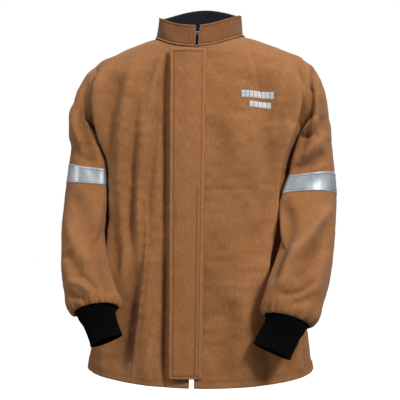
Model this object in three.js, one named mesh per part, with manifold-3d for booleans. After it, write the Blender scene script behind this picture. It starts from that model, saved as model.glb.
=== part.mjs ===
// A duck-cloth work coat with a stand collar, a storm flap over a zip, reflective arm bands and knit cuffs.
// Millimetres, +Z up, the front faces -Y. The wearer's left is +X. The origin is the middle of the neck.
import * as THREE from "three";
import { mergeVertices } from "three/addons/utils/BufferGeometryUtils.js";
import Module from "manifold-3d";

const wasm = await Module();
wasm.setup();

// ---- driving dimensions; heights are above the front hem until the whole coat is lowered at the end ----
const FRONT_LENGTH = 816; // front hem to the front of the neck seam
const SIDE_NECK_HEIGHT = FRONT_LENGTH + 36; // neck seam beside the neck
const BACK_NECK_HEIGHT = FRONT_LENGTH + 68; // neck seam at the back
const HEM_HALF_WIDTH = 285;
const WAIST_HALF_WIDTH = 225;
const CHEST_HALF_WIDTH = 266;
const NECK_HALF_WIDTH = 111;
const HEM_FRONT_DEPTH = 175; // centre to the front, at the hem
const NECK_FRONT_DEPTH = 92;
const NECK_BACK_DEPTH = 70;
const SIDE_HEM_RISE = 22;
const BACK_HEM_RISE = 8;

const CLOTH = 3; // outer cloth
const LINER = 2; // inner layer
const SEAM_GAP = 0.4; // half the gap between two panels at a seam
const FIT = 0.4; // gap between two pieces that lie face to face
const TAPE_THICKNESS = 1; // zip tape
const TAPE_DEPTH = CLOTH + FIT; // outer face of the cloth to the outer face of the zip tape
const LINER_DEPTH = TAPE_DEPTH + TAPE_THICKNESS + FIT; // outer face of the cloth to that of the liner

const CLOSURE_X = 4; // the zip stands a little to the wearer's left
const CLOSURE_HALF_GAP = 6; // zip centre to the edge of each front
const FACING_WIDTH = 55;
const HEM_TURN_UP = 38;

const ARMHOLE_TOP = SIDE_NECK_HEIGHT - 64;
const ARMHOLE_LENGTH = 180;
const ARMHOLE_BOTTOM = ARMHOLE_TOP - ARMHOLE_LENGTH;
const ARMHOLE_HALF_DEPTH = 64;
const ARMHOLE_CLEARANCE = 2; // sleeve head to the coat's side
const SLEEVE_LIFT_LIMIT_DEPTH = 240; // the armhole cut starts this far from the centre

const COLLAR_HEIGHT = 54;
const COLLAR_LINING = 2.2; // thickness
const COLLAR_LEAN = 6; // the collar's top is this much narrower than its seam
const COLLAR_SEAM_GAP = 0.5;

const FLAP_SEWN_X = 24;
const FLAP_TOP_WIDTH = 81;
const FLAP_BOTTOM_WIDTH = 70;
const FLAP_TOP_HEIGHT = FRONT_LENGTH - 6;
const FLAP_BOTTOM_HEIGHT = 22;
const FLAP_STANDOFF = 5; // coat front to the inner face of the flap
const FLAP_FACING = 1.6;
const FLAP_CLOTH = 3;

const TAPE_WIDTH = 15;
const TEETH_HALF_WIDTH = 2.6;
const TEETH_THICKNESS = 2.4;
const TEETH_GAP = 0.3;
const ZIP_TOP = FRONT_LENGTH - 20;
const ZIP_BOTTOM = 34;
const SLIDER_LENGTH = 17;
const SLIDER_HEIGHT = ZIP_TOP - 26; // middle of the slider when the zip is closed
const SLIDER_WALL = 1.4;

const PATCH_WIDTH = 16;
const PATCH_LENGTH = 62;
const PATCH_THICKNESS = 1.1;
const PATCH_DROPS = [120, 290, 405, 620]; // flap top to the middle of each hook-and-loop pair
const PATCH_INSET = 10; // free edge of the flap to the patch

const BAND_WIDTH = 50.8;
const BAND_THICKNESS = 0.9;
const BAND_HEIGHTS = { right: ARMHOLE_TOP - 290, left: ARMHOLE_TOP - 312 };

const SLEEVE_UNEVENNESS = 8; // the left wrist hangs this much lower than the mean, the right this much higher

const CUFF_THICKNESS = 3;
const CUFF_LENGTH = 79;
const CUFF_TOP_HALF = 47;
const CUFF_END_HALF = 43;
const CUFF_INSERT = 12; // cuff inside the end of the sleeve

const CLOTH_COLOUR = 0x986740;
const COLLAR_COLOUR = 0x865937;
const BLACK_COLOUR = 0x0b0b0d;
const LINER_COLOUR = 0x14161c;
const TAPE_COLOUR = 0xb4b8bc;
const METAL_COLOUR = 0xb08d4a;

const FACING_COLUMNS = 3;
const LINER_COLUMNS = 6;
const BACK_COLUMNS = 16;
const SLEEVE_SIDES = 16;

// ---- helpers ----
const coat = new THREE.Group();
const V = (x, y, z) => new THREE.Vector3(x, y, z);
const mix = THREE.MathUtils.lerp;

function material(color, roughness, metalness = 0) {
  return new THREE.MeshStandardMaterial({ color, roughness, metalness });
}

function addMesh(name, geometry, finish) {
  const mesh = new THREE.Mesh(geometry, finish);
  mesh.name = name;
  coat.add(mesh);
  return mesh;
}

// A closed triangle list as a geometry, turned round if its faces point inwards.
function closedGeometry(points, faces) {
  let volume = 0;
  for (const [a, b, c] of faces) {
    volume += points[a].dot(new THREE.Vector3().crossVectors(points[b], points[c]));
  }
  const order = volume < 0 ? faces.map(([a, b, c]) => [a, c, b]) : faces;
  const geometry = new THREE.BufferGeometry();
  geometry.setAttribute("position", new THREE.Float32BufferAttribute(points.flatMap((p) => p.toArray()), 3));
  geometry.setIndex(order.flat());
  return geometry;
}

// A sheet of cloth between two surfaces, outer(u, v) and inner(u, v), each taking shares from 0 to 1.
// A ring joins its last column to its first.
function sheetGeometry(columns, rows, outer, inner, ring = false) {
  const points = [];
  const faces = [];
  const across = ring ? columns : columns + 1;
  const layer = across * (rows + 1);
  for (const side of [outer, inner]) {
    for (let j = 0; j <= rows; j += 1) {
      for (let i = 0; i < across; i += 1) {
        points.push(side(i / columns, j / rows));
      }
    }
  }
  const id = (i, j, side) => side * layer + j * across + (i % across);
  const quad = (a, b, c, d) => faces.push([a, b, c], [a, c, d]);
  for (let j = 0; j < rows; j += 1) {
    for (let i = 0; i < columns; i += 1) {
      quad(id(i, j, 0), id(i + 1, j, 0), id(i + 1, j + 1, 0), id(i, j + 1, 0));
      quad(id(i, j, 1), id(i, j + 1, 1), id(i + 1, j + 1, 1), id(i + 1, j, 1));
    }
  }
  for (let i = 0; i < columns; i += 1) {
    quad(id(i, 0, 0), id(i, 0, 1), id(i + 1, 0, 1), id(i + 1, 0, 0));
    quad(id(i, rows, 0), id(i + 1, rows, 0), id(i + 1, rows, 1), id(i, rows, 1));
  }
  if (!ring) {
    for (let j = 0; j < rows; j += 1) {
      quad(id(0, j, 0), id(0, j + 1, 0), id(0, j + 1, 1), id(0, j, 1));
      quad(id(columns, j, 0), id(columns, j, 1), id(columns, j + 1, 1), id(columns, j + 1, 0));
    }
  }
  return closedGeometry(points, faces);
}

function solidOf(geometry) {
  const bare = geometry.clone();
  bare.deleteAttribute("normal");
  bare.deleteAttribute("uv");
  const merged = mergeVertices(bare, 1e-4);
  return new wasm.Manifold(
    new wasm.Mesh({
      numProp: 3,
      vertProperties: merged.attributes.position.array,
      triVerts: new Uint32Array(merged.index.array),
    }),
  );
}

function geometryOf(solid) {
  const mesh = solid.getMesh();
  const geometry = new THREE.BufferGeometry();
  geometry.setAttribute("position", new THREE.BufferAttribute(mesh.vertProperties, 3));
  geometry.setIndex(new THREE.BufferAttribute(mesh.triVerts, 1));
  return geometry;
}

// ---- the body's outer surface: rings from the hem to the neck seam ----
const frontDepth = (height) => mix(HEM_FRONT_DEPTH, NECK_FRONT_DEPTH, height / FRONT_LENGTH);
const ringOf = (front, side, back, halfWidth, backDepth, square) => ({
  front,
  side,
  back,
  halfWidth,
  backDepth,
  square,
});
// Rings below the armhole keep their place as a share of its height.
const below = (height) => (height / 608) * ARMHOLE_BOTTOM;
const RINGS = [
  ringOf(0, SIDE_HEM_RISE, BACK_HEM_RISE, HEM_HALF_WIDTH, 150, 2.4),
  ringOf(HEM_TURN_UP, HEM_TURN_UP + 18, HEM_TURN_UP + 7, HEM_HALF_WIDTH - 6, 147, 2.4),
  ringOf(below(100), below(112), below(104), HEM_HALF_WIDTH - 15, 143, 2.4),
  ringOf(below(180), below(186), below(182), HEM_HALF_WIDTH - 29, 138, 2.4),
  ringOf(below(270), below(273), below(271), WAIST_HALF_WIDTH + 18, 133, 2.4),
  ringOf(below(355), below(356), below(355), WAIST_HALF_WIDTH + 6, 129, 2.4),
  ringOf(below(440), below(440), below(440), WAIST_HALF_WIDTH, 128, 2.6),
  ringOf(below(530), below(530), below(530), WAIST_HALF_WIDTH + 4, 130, 2.9),
  ringOf(ARMHOLE_BOTTOM + 2, ARMHOLE_BOTTOM + 4, ARMHOLE_BOTTOM + 4, CHEST_HALF_WIDTH - 12, 130, 3.3),
  ringOf(ARMHOLE_TOP - 98, ARMHOLE_TOP - 92, ARMHOLE_TOP - 92, CHEST_HALF_WIDTH, 126, 3.6),
  ringOf(ARMHOLE_TOP - 46, ARMHOLE_TOP - 28, ARMHOLE_TOP - 28, CHEST_HALF_WIDTH + 2, 119, 3.2),
  ringOf(ARMHOLE_TOP - 20, ARMHOLE_TOP + 6, ARMHOLE_TOP + 8, CHEST_HALF_WIDTH - 6, 110, 2.3),
  ringOf(ARMHOLE_TOP - 5, ARMHOLE_TOP + 24, ARMHOLE_TOP + 38, CHEST_HALF_WIDTH - 44, 100, 2),
  ringOf(
    FRONT_LENGTH - 21,
    SIDE_NECK_HEIGHT - 22,
    BACK_NECK_HEIGHT - 32,
    mix(CHEST_HALF_WIDTH, NECK_HALF_WIDTH, 0.57),
    92,
    2,
  ),
  ringOf(
    FRONT_LENGTH - 10,
    SIDE_NECK_HEIGHT - 8,
    BACK_NECK_HEIGHT - 13,
    NECK_HALF_WIDTH + 29,
    NECK_BACK_DEPTH + 10,
    2,
  ),
  ringOf(FRONT_LENGTH, SIDE_NECK_HEIGHT, BACK_NECK_HEIGHT, NECK_HALF_WIDTH, NECK_BACK_DEPTH, 2),
];
const TOP_RING = RINGS.length - 1;
const QUARTER = Math.PI / 2;

// Catmull-Rom through one value of the rings, so the surface has no creases.
function ringValue(level, key) {
  const k = Math.min(Math.floor(level), TOP_RING - 1);
  const t = level - k;
  const at = (i) => RINGS[THREE.MathUtils.clamp(i, 0, TOP_RING)][key];
  const slopeA = (at(k + 1) - at(k - 1)) / 2;
  const slopeB = (at(k + 2) - at(k)) / 2;
  const rise = at(k + 1) - at(k);
  return (
    at(k) + t * slopeA + t * t * (3 * rise - 2 * slopeA - slopeB) + t * t * t * (slopeA + slopeB - 2 * rise)
  );
}

// turn is 0 at the front middle, a quarter turn at the wearer's left side and half a turn at the back.
function bodyPoint(turn, level) {
  const s = Math.sin(turn);
  const c = Math.cos(turn);
  const square = ringValue(level, "square");
  const shrink = (Math.abs(s) ** square + Math.abs(c) ** square) ** (-1 / square);
  const front = ringValue(level, "front");
  const depth = c > 0 ? frontDepth(front) : ringValue(level, "backDepth");
  const end = c > 0 ? front : ringValue(level, "back");
  return V(
    ringValue(level, "halfWidth") * shrink * s,
    -depth * shrink * c,
    mix(ringValue(level, "side"), end, c * c),
  );
}

function normalOf(surface, a, b, stepA, stepB) {
  const alongA = surface(a + stepA, b).sub(surface(a - stepA, b));
  const alongB = surface(a, b + stepB).sub(surface(a, b - stepB));
  return alongA.cross(alongB).normalize();
}

// A point at a depth below the body's surface.
function bodyInset(turn, level, depth) {
  const inside = THREE.MathUtils.clamp(level, 0.02, TOP_RING - 0.02);
  const normal = normalOf(bodyPoint, turn, inside, 0.01, 0.01);
  return bodyPoint(turn, level).addScaledVector(normal, -depth);
}

// The turn at which the front reaches x at a level.
function turnAt(x, level) {
  const square = ringValue(level, "square");
  const ratio = (ringValue(level, "halfWidth") / Math.max(Math.abs(x), 1e-6)) ** square;
  return Math.sign(x) * Math.atan2(1, (ratio - 1) ** (1 / square));
}

// The level at which the front, at x, reaches a height.
function levelAt(x, height) {
  let low = 0;
  let high = TOP_RING;
  for (let n = 0; n < 40; n += 1) {
    const middle = (low + high) / 2;
    if (bodyPoint(turnAt(x, middle), middle).z < height) low = middle;
    else high = middle;
  }
  return (low + high) / 2;
}

// A point of the coat's front at x and height, lifted clear of the cloth.
function frontPoint(x, height, lift = 0) {
  const level = levelAt(x, height);
  return bodyInset(turnAt(x, level), level, -lift);
}

// ---- body panels, liners and facings ----
function armholeCutter(side) {
  const outline = new THREE.Shape();
  const halfHeight = (ARMHOLE_TOP - ARMHOLE_BOTTOM) / 2;
  outline.absellipse(0, 0, ARMHOLE_HALF_DEPTH, halfHeight, 0, 2 * Math.PI);
  const prism = new THREE.ExtrudeGeometry(outline, { depth: 100, bevelEnabled: false, curveSegments: 12 });
  prism.rotateY(QUARTER).rotateX(QUARTER);
  const start = side > 0 ? SLEEVE_LIFT_LIMIT_DEPTH : -SLEEVE_LIFT_LIMIT_DEPTH - 100;
  prism.translate(start, 0, (ARMHOLE_TOP + ARMHOLE_BOTTOM) / 2);
  return solidOf(prism);
}
const armholes = armholeCutter(1).add(armholeCutter(-1));

// A panel of the body. edges gives the turn of each of its columns at a level, from edge to edge,
// so that layers with the same edges and levels lie face to face without cutting one another.
function bodyPanel(edges, levels, depth, thickness) {
  const columns = edges.length - 1;
  const rows = levels.length - 1;
  const place = (extra) => (u, v) => {
    const level = levels[Math.round(v * rows)];
    return bodyInset(edges[Math.round(u * columns)](level), level, depth + extra);
  };
  const sheet = sheetGeometry(columns, rows, place(0), place(thickness));
  return geometryOf(solidOf(sheet).subtract(armholes));
}

// The levels from low to high, with every ring between them.
function levelsBetween(low, high) {
  const rings = RINGS.map((ring, level) => level).filter((level) => level > low + 0.1 && level < high - 0.1);
  return [low, ...rings, high];
}

// Columns spread evenly between two edges.
function spread(edgeA, edgeB, columns) {
  const edge = (share) => (level) => mix(edgeA(level), edgeB(level), share);
  return Array.from({ length: columns + 1 }, (none, i) => edge(i / columns));
}

// A seam at a side, kept clear of the neighbouring panel by gap millimetres.
const sideEdge = (side, away, gap) => (level) =>
  side * (QUARTER + (away * gap) / ringValue(level, "halfWidth") / 0.7);
const closureEdge = (side, distance) => (level) => turnAt(CLOSURE_X + side * distance, level);

const cloth = material(CLOTH_COLOUR, 0.9);
const collarCloth = material(COLLAR_COLOUR, 0.9);
const liner = material(LINER_COLOUR, 0.8);
const knit = material(BLACK_COLOUR, 0.95);

const HEM_START = 0.04;
const LINER_HEM = 1.1;
const LINER_TOP = TOP_RING - 0.5;
const panelLevels = levelsBetween(0, TOP_RING);
const linerLevels = levelsBetween(LINER_HEM + 0.02, LINER_TOP);
const hemLevels = levelsBetween(HEM_START, LINER_HEM);
const facingLevels = levelsBetween(HEM_START, LINER_TOP);

const backEdges = spread(
  sideEdge(1, 1, SEAM_GAP),
  (level) => 4 * QUARTER + sideEdge(-1, 1, SEAM_GAP)(level),
  BACK_COLUMNS,
);
addMesh("back_panel", bodyPanel(backEdges, panelLevels, 0, CLOTH), cloth);
addMesh("back_liner", bodyPanel(backEdges, linerLevels, LINER_DEPTH, LINER), liner);
addMesh("back_hem_facing", bodyPanel(backEdges, hemLevels, LINER_DEPTH, LINER), cloth);

for (const [name, side] of [["right", -1], ["left", 1]]) {
  const facingEdges = spread(
    closureEdge(side, CLOSURE_HALF_GAP),
    closureEdge(side, FACING_WIDTH),
    FACING_COLUMNS,
  );
  const linerEdges = spread(
    closureEdge(side, FACING_WIDTH),
    sideEdge(side, -1, SEAM_GAP),
    LINER_COLUMNS,
  );
  const panelEdges = [...facingEdges, ...linerEdges.slice(1)];
  const clearedEdges = [closureEdge(side, FACING_WIDTH + 1), ...linerEdges.slice(1)];
  addMesh(name + "_front_panel", bodyPanel(panelEdges, panelLevels, 0, CLOTH), cloth);
  addMesh(name + "_front_liner", bodyPanel(clearedEdges, linerLevels, LINER_DEPTH, LINER), liner);
  addMesh(name + "_front_facing", bodyPanel(facingEdges, facingLevels, LINER_DEPTH, LINER), cloth);
  addMesh(name + "_hem_facing", bodyPanel(clearedEdges, hemLevels, LINER_DEPTH, LINER), cloth);
}

// ---- collar ----
const COLLAR_COLUMNS = 22;
const collarHalfGap = { low: 3, high: 8 }; // the collar's ends open into a narrow V

// u runs from the wearer's left end round the back to the right end, v from the seam to the top edge.
function collarPoint(u, v, inset) {
  const gap = mix(collarHalfGap.low, collarHalfGap.high, v);
  const halfWidth = NECK_HALF_WIDTH - COLLAR_LEAN * v - inset;
  const startTurn = Math.asin((CLOSURE_X + gap) / halfWidth);
  const endTurn = 4 * QUARTER + Math.asin((CLOSURE_X - collarHalfGap.low) / halfWidth);
  const turn = mix(startTurn, endTurn, u);
  const c = Math.cos(turn);
  const depth = (c > 0 ? NECK_FRONT_DEPTH - 9 * v : NECK_BACK_DEPTH - 2 * v) - inset;
  const end = c > 0 ? FRONT_LENGTH : BACK_NECK_HEIGHT;
  const seam = mix(SIDE_NECK_HEIGHT, end, c * c);
  const height = seam + COLLAR_SEAM_GAP + (COLLAR_HEIGHT - COLLAR_SEAM_GAP) * v;
  return V(halfWidth * Math.sin(turn), -depth * c, height);
}
const collarSheet = (inset, thickness, low, high) =>
  sheetGeometry(
    COLLAR_COLUMNS,
    2,
    (u, v) => collarPoint(u, mix(low, high, v), inset),
    (u, v) => collarPoint(u, mix(low, high, v), inset + thickness),
  );
addMesh("collar_outer", collarSheet(0, CLOTH, 0, 1), collarCloth);
addMesh("collar_lining", collarSheet(CLOTH + FIT, COLLAR_LINING, 0, 0.97), knit);

// A thin welt lies outside the collar's foot, all round.
const WELT_SIZE = 3;
const weltPoint = (u, v, inset) => collarPoint(u, mix(0.02, 0.075, v), inset - WELT_SIZE - FIT);
addMesh(
  "neck_seam_welt",
  sheetGeometry(
    COLLAR_COLUMNS,
    1,
    (u, v) => weltPoint(u, v, 0),
    (u, v) => weltPoint(u, v, WELT_SIZE),
  ),
  cloth,
);

// ---- zip: tapes, teeth, stops and the slider ----
// A strip along the closure between two distances from it, at a depth below the coat's front.
function closureStrip(from, to, lowHeight, highHeight, depth, thickness, rows, columns = 1) {
  const place = (extra) => (u, v) =>
    frontPoint(CLOSURE_X + mix(from, to, u), mix(lowHeight, highHeight, v), -depth - extra);
  return sheetGeometry(columns, rows, place(0), place(thickness));
}
const brass = material(METAL_COLOUR, 0.35, 1);
const TEETH_DEPTH = TAPE_DEPTH - FIT - TEETH_THICKNESS;
for (const [name, side] of [["right", -1], ["left", 1]]) {
  addMesh(
    "zip_tape_" + name,
    closureStrip(
      side * TEETH_GAP,
      side * TAPE_WIDTH,
      ZIP_BOTTOM - 12,
      ZIP_TOP + 8,
      TAPE_DEPTH,
      TAPE_THICKNESS,
      8,
    ),
    knit,
  );
  addMesh(
    "zip_teeth_" + name,
    closureStrip(
      side * TEETH_GAP,
      side * TEETH_HALF_WIDTH,
      ZIP_BOTTOM + 6,
      ZIP_TOP - 4,
      TEETH_DEPTH,
      TEETH_THICKNESS,
      8,
    ),
    brass,
  );
  addMesh(
    "zip_top_stop_" + name,
    closureStrip(
      side * TEETH_GAP,
      side * (TEETH_HALF_WIDTH + 0.8),
      ZIP_TOP - 3.4,
      ZIP_TOP + 1,
      TEETH_DEPTH,
      TEETH_THICKNESS,
      1,
    ),
    brass,
  );
}
const zipEnd = (from, to) =>
  closureStrip(from, to, ZIP_BOTTOM - 12, ZIP_BOTTOM + 5, TEETH_DEPTH, TEETH_THICKNESS, 1);
addMesh("zip_insertion_pin", zipEnd(-TEETH_GAP, -TEETH_HALF_WIDTH), brass);
addMesh("zip_retainer_box", zipEnd(TEETH_GAP, TEETH_HALF_WIDTH + 1.6), brass);

// The closure line runs straight from the hem to the neck, leaning with the coat's front.
const zipLow = frontPoint(CLOSURE_X, FLAP_BOTTOM_HEIGHT);
const zipHigh = frontPoint(CLOSURE_X, FLAP_TOP_HEIGHT);
const FRONT_LEAN = Math.atan2(zipHigh.y - zipLow.y, zipHigh.z - zipLow.z);
const closureAt = (height) => mix(zipLow.y, zipHigh.y, (height - zipLow.z) / (zipHigh.z - zipLow.z));

// A channel that rides over the teeth: x across, y outwards from the coat, seen from above.
function sliderOutline() {
  const inside = TEETH_HALF_WIDTH + FIT;
  const outside = inside + SLIDER_WALL;
  const roof = -TEETH_DEPTH + FIT;
  const foot = -TAPE_DEPTH + FIT;
  const shape = new THREE.Shape();
  shape.moveTo(-outside, foot);
  shape.lineTo(-inside, foot);
  shape.lineTo(-inside, roof);
  shape.lineTo(inside, roof);
  shape.lineTo(inside, foot);
  shape.lineTo(outside, foot);
  shape.lineTo(outside, roof + SLIDER_WALL * 0.6);
  shape.lineTo(inside, roof + SLIDER_WALL);
  shape.lineTo(-inside, roof + SLIDER_WALL);
  shape.lineTo(-outside, roof + SLIDER_WALL * 0.6);
  return shape;
}
// Places a shape drawn in (x across, y outwards) and extruded along the closure line.
function alongClosure(geometry, height, length) {
  geometry.translate(0, 0, -length / 2);
  geometry.scale(1, -1, 1);
  geometry.rotateX(-FRONT_LEAN);
  geometry.translate(CLOSURE_X, closureAt(height), height);
  const index = mergeVertices(geometry.deleteAttribute("normal").deleteAttribute("uv"), 1e-4);
  const points = [];
  const position = index.attributes.position;
  for (let i = 0; i < position.count; i += 1) {
    points.push(new THREE.Vector3().fromBufferAttribute(position, i));
  }
  const faces = [];
  for (let i = 0; i < index.index.count; i += 3) {
    faces.push([index.index.getX(i), index.index.getX(i + 1), index.index.getX(i + 2)]);
  }
  return closedGeometry(points, faces);
}
const sliderSolid = new THREE.ExtrudeGeometry(sliderOutline(), { depth: SLIDER_LENGTH, bevelEnabled: false });
addMesh("zip_slider", alongClosure(sliderSolid, SLIDER_HEIGHT, SLIDER_LENGTH), brass);

// The pull tab hangs flat under the flap from the slider's roof.
const TAB_LENGTH = 32;
const TAB_HALF_WIDTH = 4;
const TAB_THICKNESS = 1;
const TAB_TOP = SLIDER_HEIGHT + 5;
const tabInner = -TEETH_DEPTH + SLIDER_WALL + 2 * FIT;
const tabShape = new THREE.Shape();
tabShape.moveTo(-TAB_HALF_WIDTH, tabInner);
tabShape.lineTo(TAB_HALF_WIDTH, tabInner);
tabShape.lineTo(TAB_HALF_WIDTH, tabInner + TAB_THICKNESS);
tabShape.lineTo(-TAB_HALF_WIDTH, tabInner + TAB_THICKNESS);
const tabSolid = new THREE.ExtrudeGeometry(tabShape, { depth: TAB_LENGTH, bevelEnabled: false });
addMesh("zip_pull_tab", alongClosure(tabSolid, TAB_TOP - TAB_LENGTH / 2, TAB_LENGTH), brass);

// ---- storm flap and its hook-and-loop pairs ----
const FLAP_LENGTH = FLAP_TOP_HEIGHT - FLAP_BOTTOM_HEIGHT;
const flapWidth = (height) =>
  mix(FLAP_BOTTOM_WIDTH, FLAP_TOP_WIDTH, (height - FLAP_BOTTOM_HEIGHT) / FLAP_LENGTH);
// u runs from the sewn edge to the free edge.
function flapLayer(lift, thickness, margin) {
  const place = (extra) => (u, v) => {
    const height = mix(FLAP_BOTTOM_HEIGHT + margin, FLAP_TOP_HEIGHT - margin, v);
    const x = FLAP_SEWN_X - mix(0, flapWidth(height) - margin, u);
    return frontPoint(x, height, lift + extra);
  };
  return sheetGeometry(4, 12, place(thickness), place(0));
}
addMesh("flap_facing", flapLayer(FLAP_STANDOFF, FLAP_FACING, 2), cloth);
addMesh("storm_flap", flapLayer(FLAP_STANDOFF + FLAP_FACING + 2 * FIT, FLAP_CLOTH, 0), cloth);

PATCH_DROPS.forEach((drop, index) => {
  const middle = FLAP_TOP_HEIGHT - drop;
  const patch = (lift) => {
    const place = (extra) => (u, v) => {
      const height = mix(middle - PATCH_LENGTH / 2, middle + PATCH_LENGTH / 2, v);
      const freeEdge = FLAP_SEWN_X - flapWidth(height);
      return frontPoint(freeEdge + PATCH_INSET + PATCH_WIDTH * u, height, lift + extra);
    };
    return sheetGeometry(1, 2, place(PATCH_THICKNESS), place(0));
  };
  addMesh("hook_strip_" + (index + 1), patch(FLAP_STANDOFF - FIT - PATCH_THICKNESS), knit);
  addMesh("loop_strip_" + (index + 1), patch(FIT), knit);
});

// ---- sleeves ----
// Each ring is drawn for the wearer's left: under and over are its inner and outer points, as X and a drop
// below the top of the armhole,
// ahead is how far its middle lies in front, half is its half depth, and tip turns it about X.
const station = (underX, underDrop, overX, overDrop, ahead, half, tip) => ({
  underX,
  underZ: ARMHOLE_TOP - underDrop,
  overX,
  overZ: ARMHOLE_TOP - overDrop,
  ahead,
  half,
  tip,
});
const HEAD_X = CHEST_HALF_WIDTH + ARMHOLE_CLEARANCE;
const END_HALF = CUFF_TOP_HALF + CLOTH + 4;
const END_MIDDLE = HEAD_X - 43;
const STATIONS = [
  station(HEAD_X, 178, HEAD_X, 2, 0, ARMHOLE_HALF_DEPTH, 0),
  station(HEAD_X + 2, 188, HEAD_X + 24, 22, 0, ARMHOLE_HALF_DEPTH + 6, 0),
  station(HEAD_X + 2, 200, HEAD_X + 46, 73, 2, ARMHOLE_HALF_DEPTH + 12, 0),
  station(HEAD_X - 6, 218, HEAD_X + 58, 143, 4, ARMHOLE_HALF_DEPTH + 15, 0),
  station(HEAD_X - 24, 248, HEAD_X + 64, 213, 6, 78, 0),
  station(HEAD_X - 34, 292, HEAD_X + 70, 276, 10, 76, 0.08),
  station(HEAD_X - 36, 338, HEAD_X + 74, 330, 22, 73, 0.2),
  station(HEAD_X - 34, 396, HEAD_X + 73, 390, 48, 71, 0.36),
  station(HEAD_X - 42, 450, HEAD_X + 67, 458, 84, 69, 0.48),
  station(HEAD_X - 62, 512, HEAD_X + 56, 530, 124, 68, 0.48),
  station(HEAD_X - 86, 566, HEAD_X + 36, 592, 154, 64, 0.44),
  station(END_MIDDLE - END_HALF - 1, 606, END_MIDDLE + END_HALF + 1, 630, 170, END_HALF, 0.42),
];
const LAST_STATION = STATIONS.length - 1;

function stationValue(level, key) {
  const k = Math.min(Math.floor(level), LAST_STATION - 1);
  const t = level - k;
  const at = (i) => STATIONS[THREE.MathUtils.clamp(i, 0, LAST_STATION)][key];
  const slopeA = (at(k + 1) - at(k - 1)) / 2;
  const slopeB = (at(k + 2) - at(k)) / 2;
  const rise = at(k + 1) - at(k);
  return (
    at(k) + t * slopeA + t * t * (3 * rise - 2 * slopeA - slopeB) + t * t * t * (slopeA + slopeB - 2 * rise)
  );
}

// u goes once round the sleeve, level along it, and depth is measured into the cloth.
function sleevePoint(side, u, level, depth) {
  const turn = 4 * QUARTER * u;
  const over = V(stationValue(level, "overX"), 0, stationValue(level, "overZ"));
  const under = V(stationValue(level, "underX"), 0, stationValue(level, "underZ"));
  const axis = over.clone().sub(under);
  const middle = over.clone().add(under).multiplyScalar(0.5);
  const halfAcross = axis.length() / 2 - depth;
  const halfDepth = stationValue(level, "half") - depth;
  const tip = stationValue(level, "tip");
  const forward = V(0, -Math.cos(tip), Math.sin(tip));
  const point = middle
    .addScaledVector(axis.normalize(), halfAcross * Math.cos(turn))
    .addScaledVector(forward, halfDepth * Math.sin(turn));
  point.y -= stationValue(level, "ahead");
  point.z -= side * SLEEVE_UNEVENNESS * THREE.MathUtils.clamp((level - 5) / (LAST_STATION - 5), 0, 1);
  point.x *= side;
  return point;
}

function sleeveTube(side, levels, depth, thickness) {
  const rows = levels.length - 1;
  const place = (extra) => (u, v) => sleevePoint(side, u, levels[Math.round(v * rows)], depth + extra);
  return sheetGeometry(SLEEVE_SIDES, rows, place(0), place(thickness), true);
}

// Half of a sleeve, in front of its outer and inner seams or behind them.
function sleeveHalf(side, front, levels, thickness) {
  const rows = levels.length - 1;
  const seam = SEAM_GAP / SLEEVE_GIRTH;
  const start = front ? seam : 0.5 + seam;
  const place = (depth) => (u, v) =>
    sleevePoint(side, mix(start, start + 0.5 - 2 * seam, u), levels[Math.round(v * rows)], depth);
  return sheetGeometry(SLEEVE_SIDES / 2, rows, place(0), place(thickness));
}

// The level along the sleeve at which its middle passes a height.
function sleeveLevelAt(height) {
  let low = 1;
  let high = LAST_STATION;
  for (let n = 0; n < 40; n += 1) {
    const middle = (low + high) / 2;
    const at = (stationValue(middle, "overZ") + stationValue(middle, "underZ")) / 2;
    if (at > height) low = middle;
    else high = middle;
  }
  return (low + high) / 2;
}
const LINER_START = 0.1;
const LINER_END = LAST_STATION - 1;
const SLEEVE_GIRTH = 440;
const ELBOW_GAP = 0.015; // in levels, at the seam under the band's lower edge

// The levels that one sleeve's pieces are drawn through, above and below the seam under its band.
function sleeveRings(bandHeight) {
  const from = sleeveLevelAt(bandHeight + BAND_WIDTH / 2);
  const to = sleeveLevelAt(bandHeight - BAND_WIDTH / 2);
  const stations = STATIONS.map((ring, level) => level);
  const upper = [...stations.filter((level) => level < from - 0.1), from, to];
  const lower = [to + ELBOW_GAP, ...stations.filter((level) => level > to + 0.1)];
  const inside = [...upper, ...lower].filter((level) => level > LINER_START && level <= LINER_END);
  return { band: [from, to], upper, lower, liner: [LINER_START, ...inside] };
}
const reflective = material(TAPE_COLOUR, 0.35, 0.3);

// The cuff carries on from the end of the sleeve, down, forward and inward.
const CUFF_INWARD = 0.47;
const CUFF_FORWARD = 0.455;
const cuffLine = V(-CUFF_INWARD, -CUFF_FORWARD, -1).normalize();
function cuffPoint(side, u, v, depth) {
  const end = STATIONS[LAST_STATION];
  const middle = V((end.overX + end.underX) / 2, -end.ahead, (end.overZ + end.underZ) / 2);
  middle.addScaledVector(cuffLine, mix(-CUFF_INSERT, CUFF_LENGTH, v));
  const across = V(1, 0, 0).addScaledVector(cuffLine, -cuffLine.x).normalize();
  const forward = across.clone().cross(cuffLine).normalize();
  const half = mix(CUFF_TOP_HALF, CUFF_END_HALF, v) - depth;
  const turn = 4 * QUARTER * u;
  const point = middle
    .addScaledVector(across, half * Math.cos(turn))
    .addScaledVector(forward, half * Math.sin(turn));
  point.z -= side * SLEEVE_UNEVENNESS;
  point.x *= side;
  return point;
}

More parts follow.
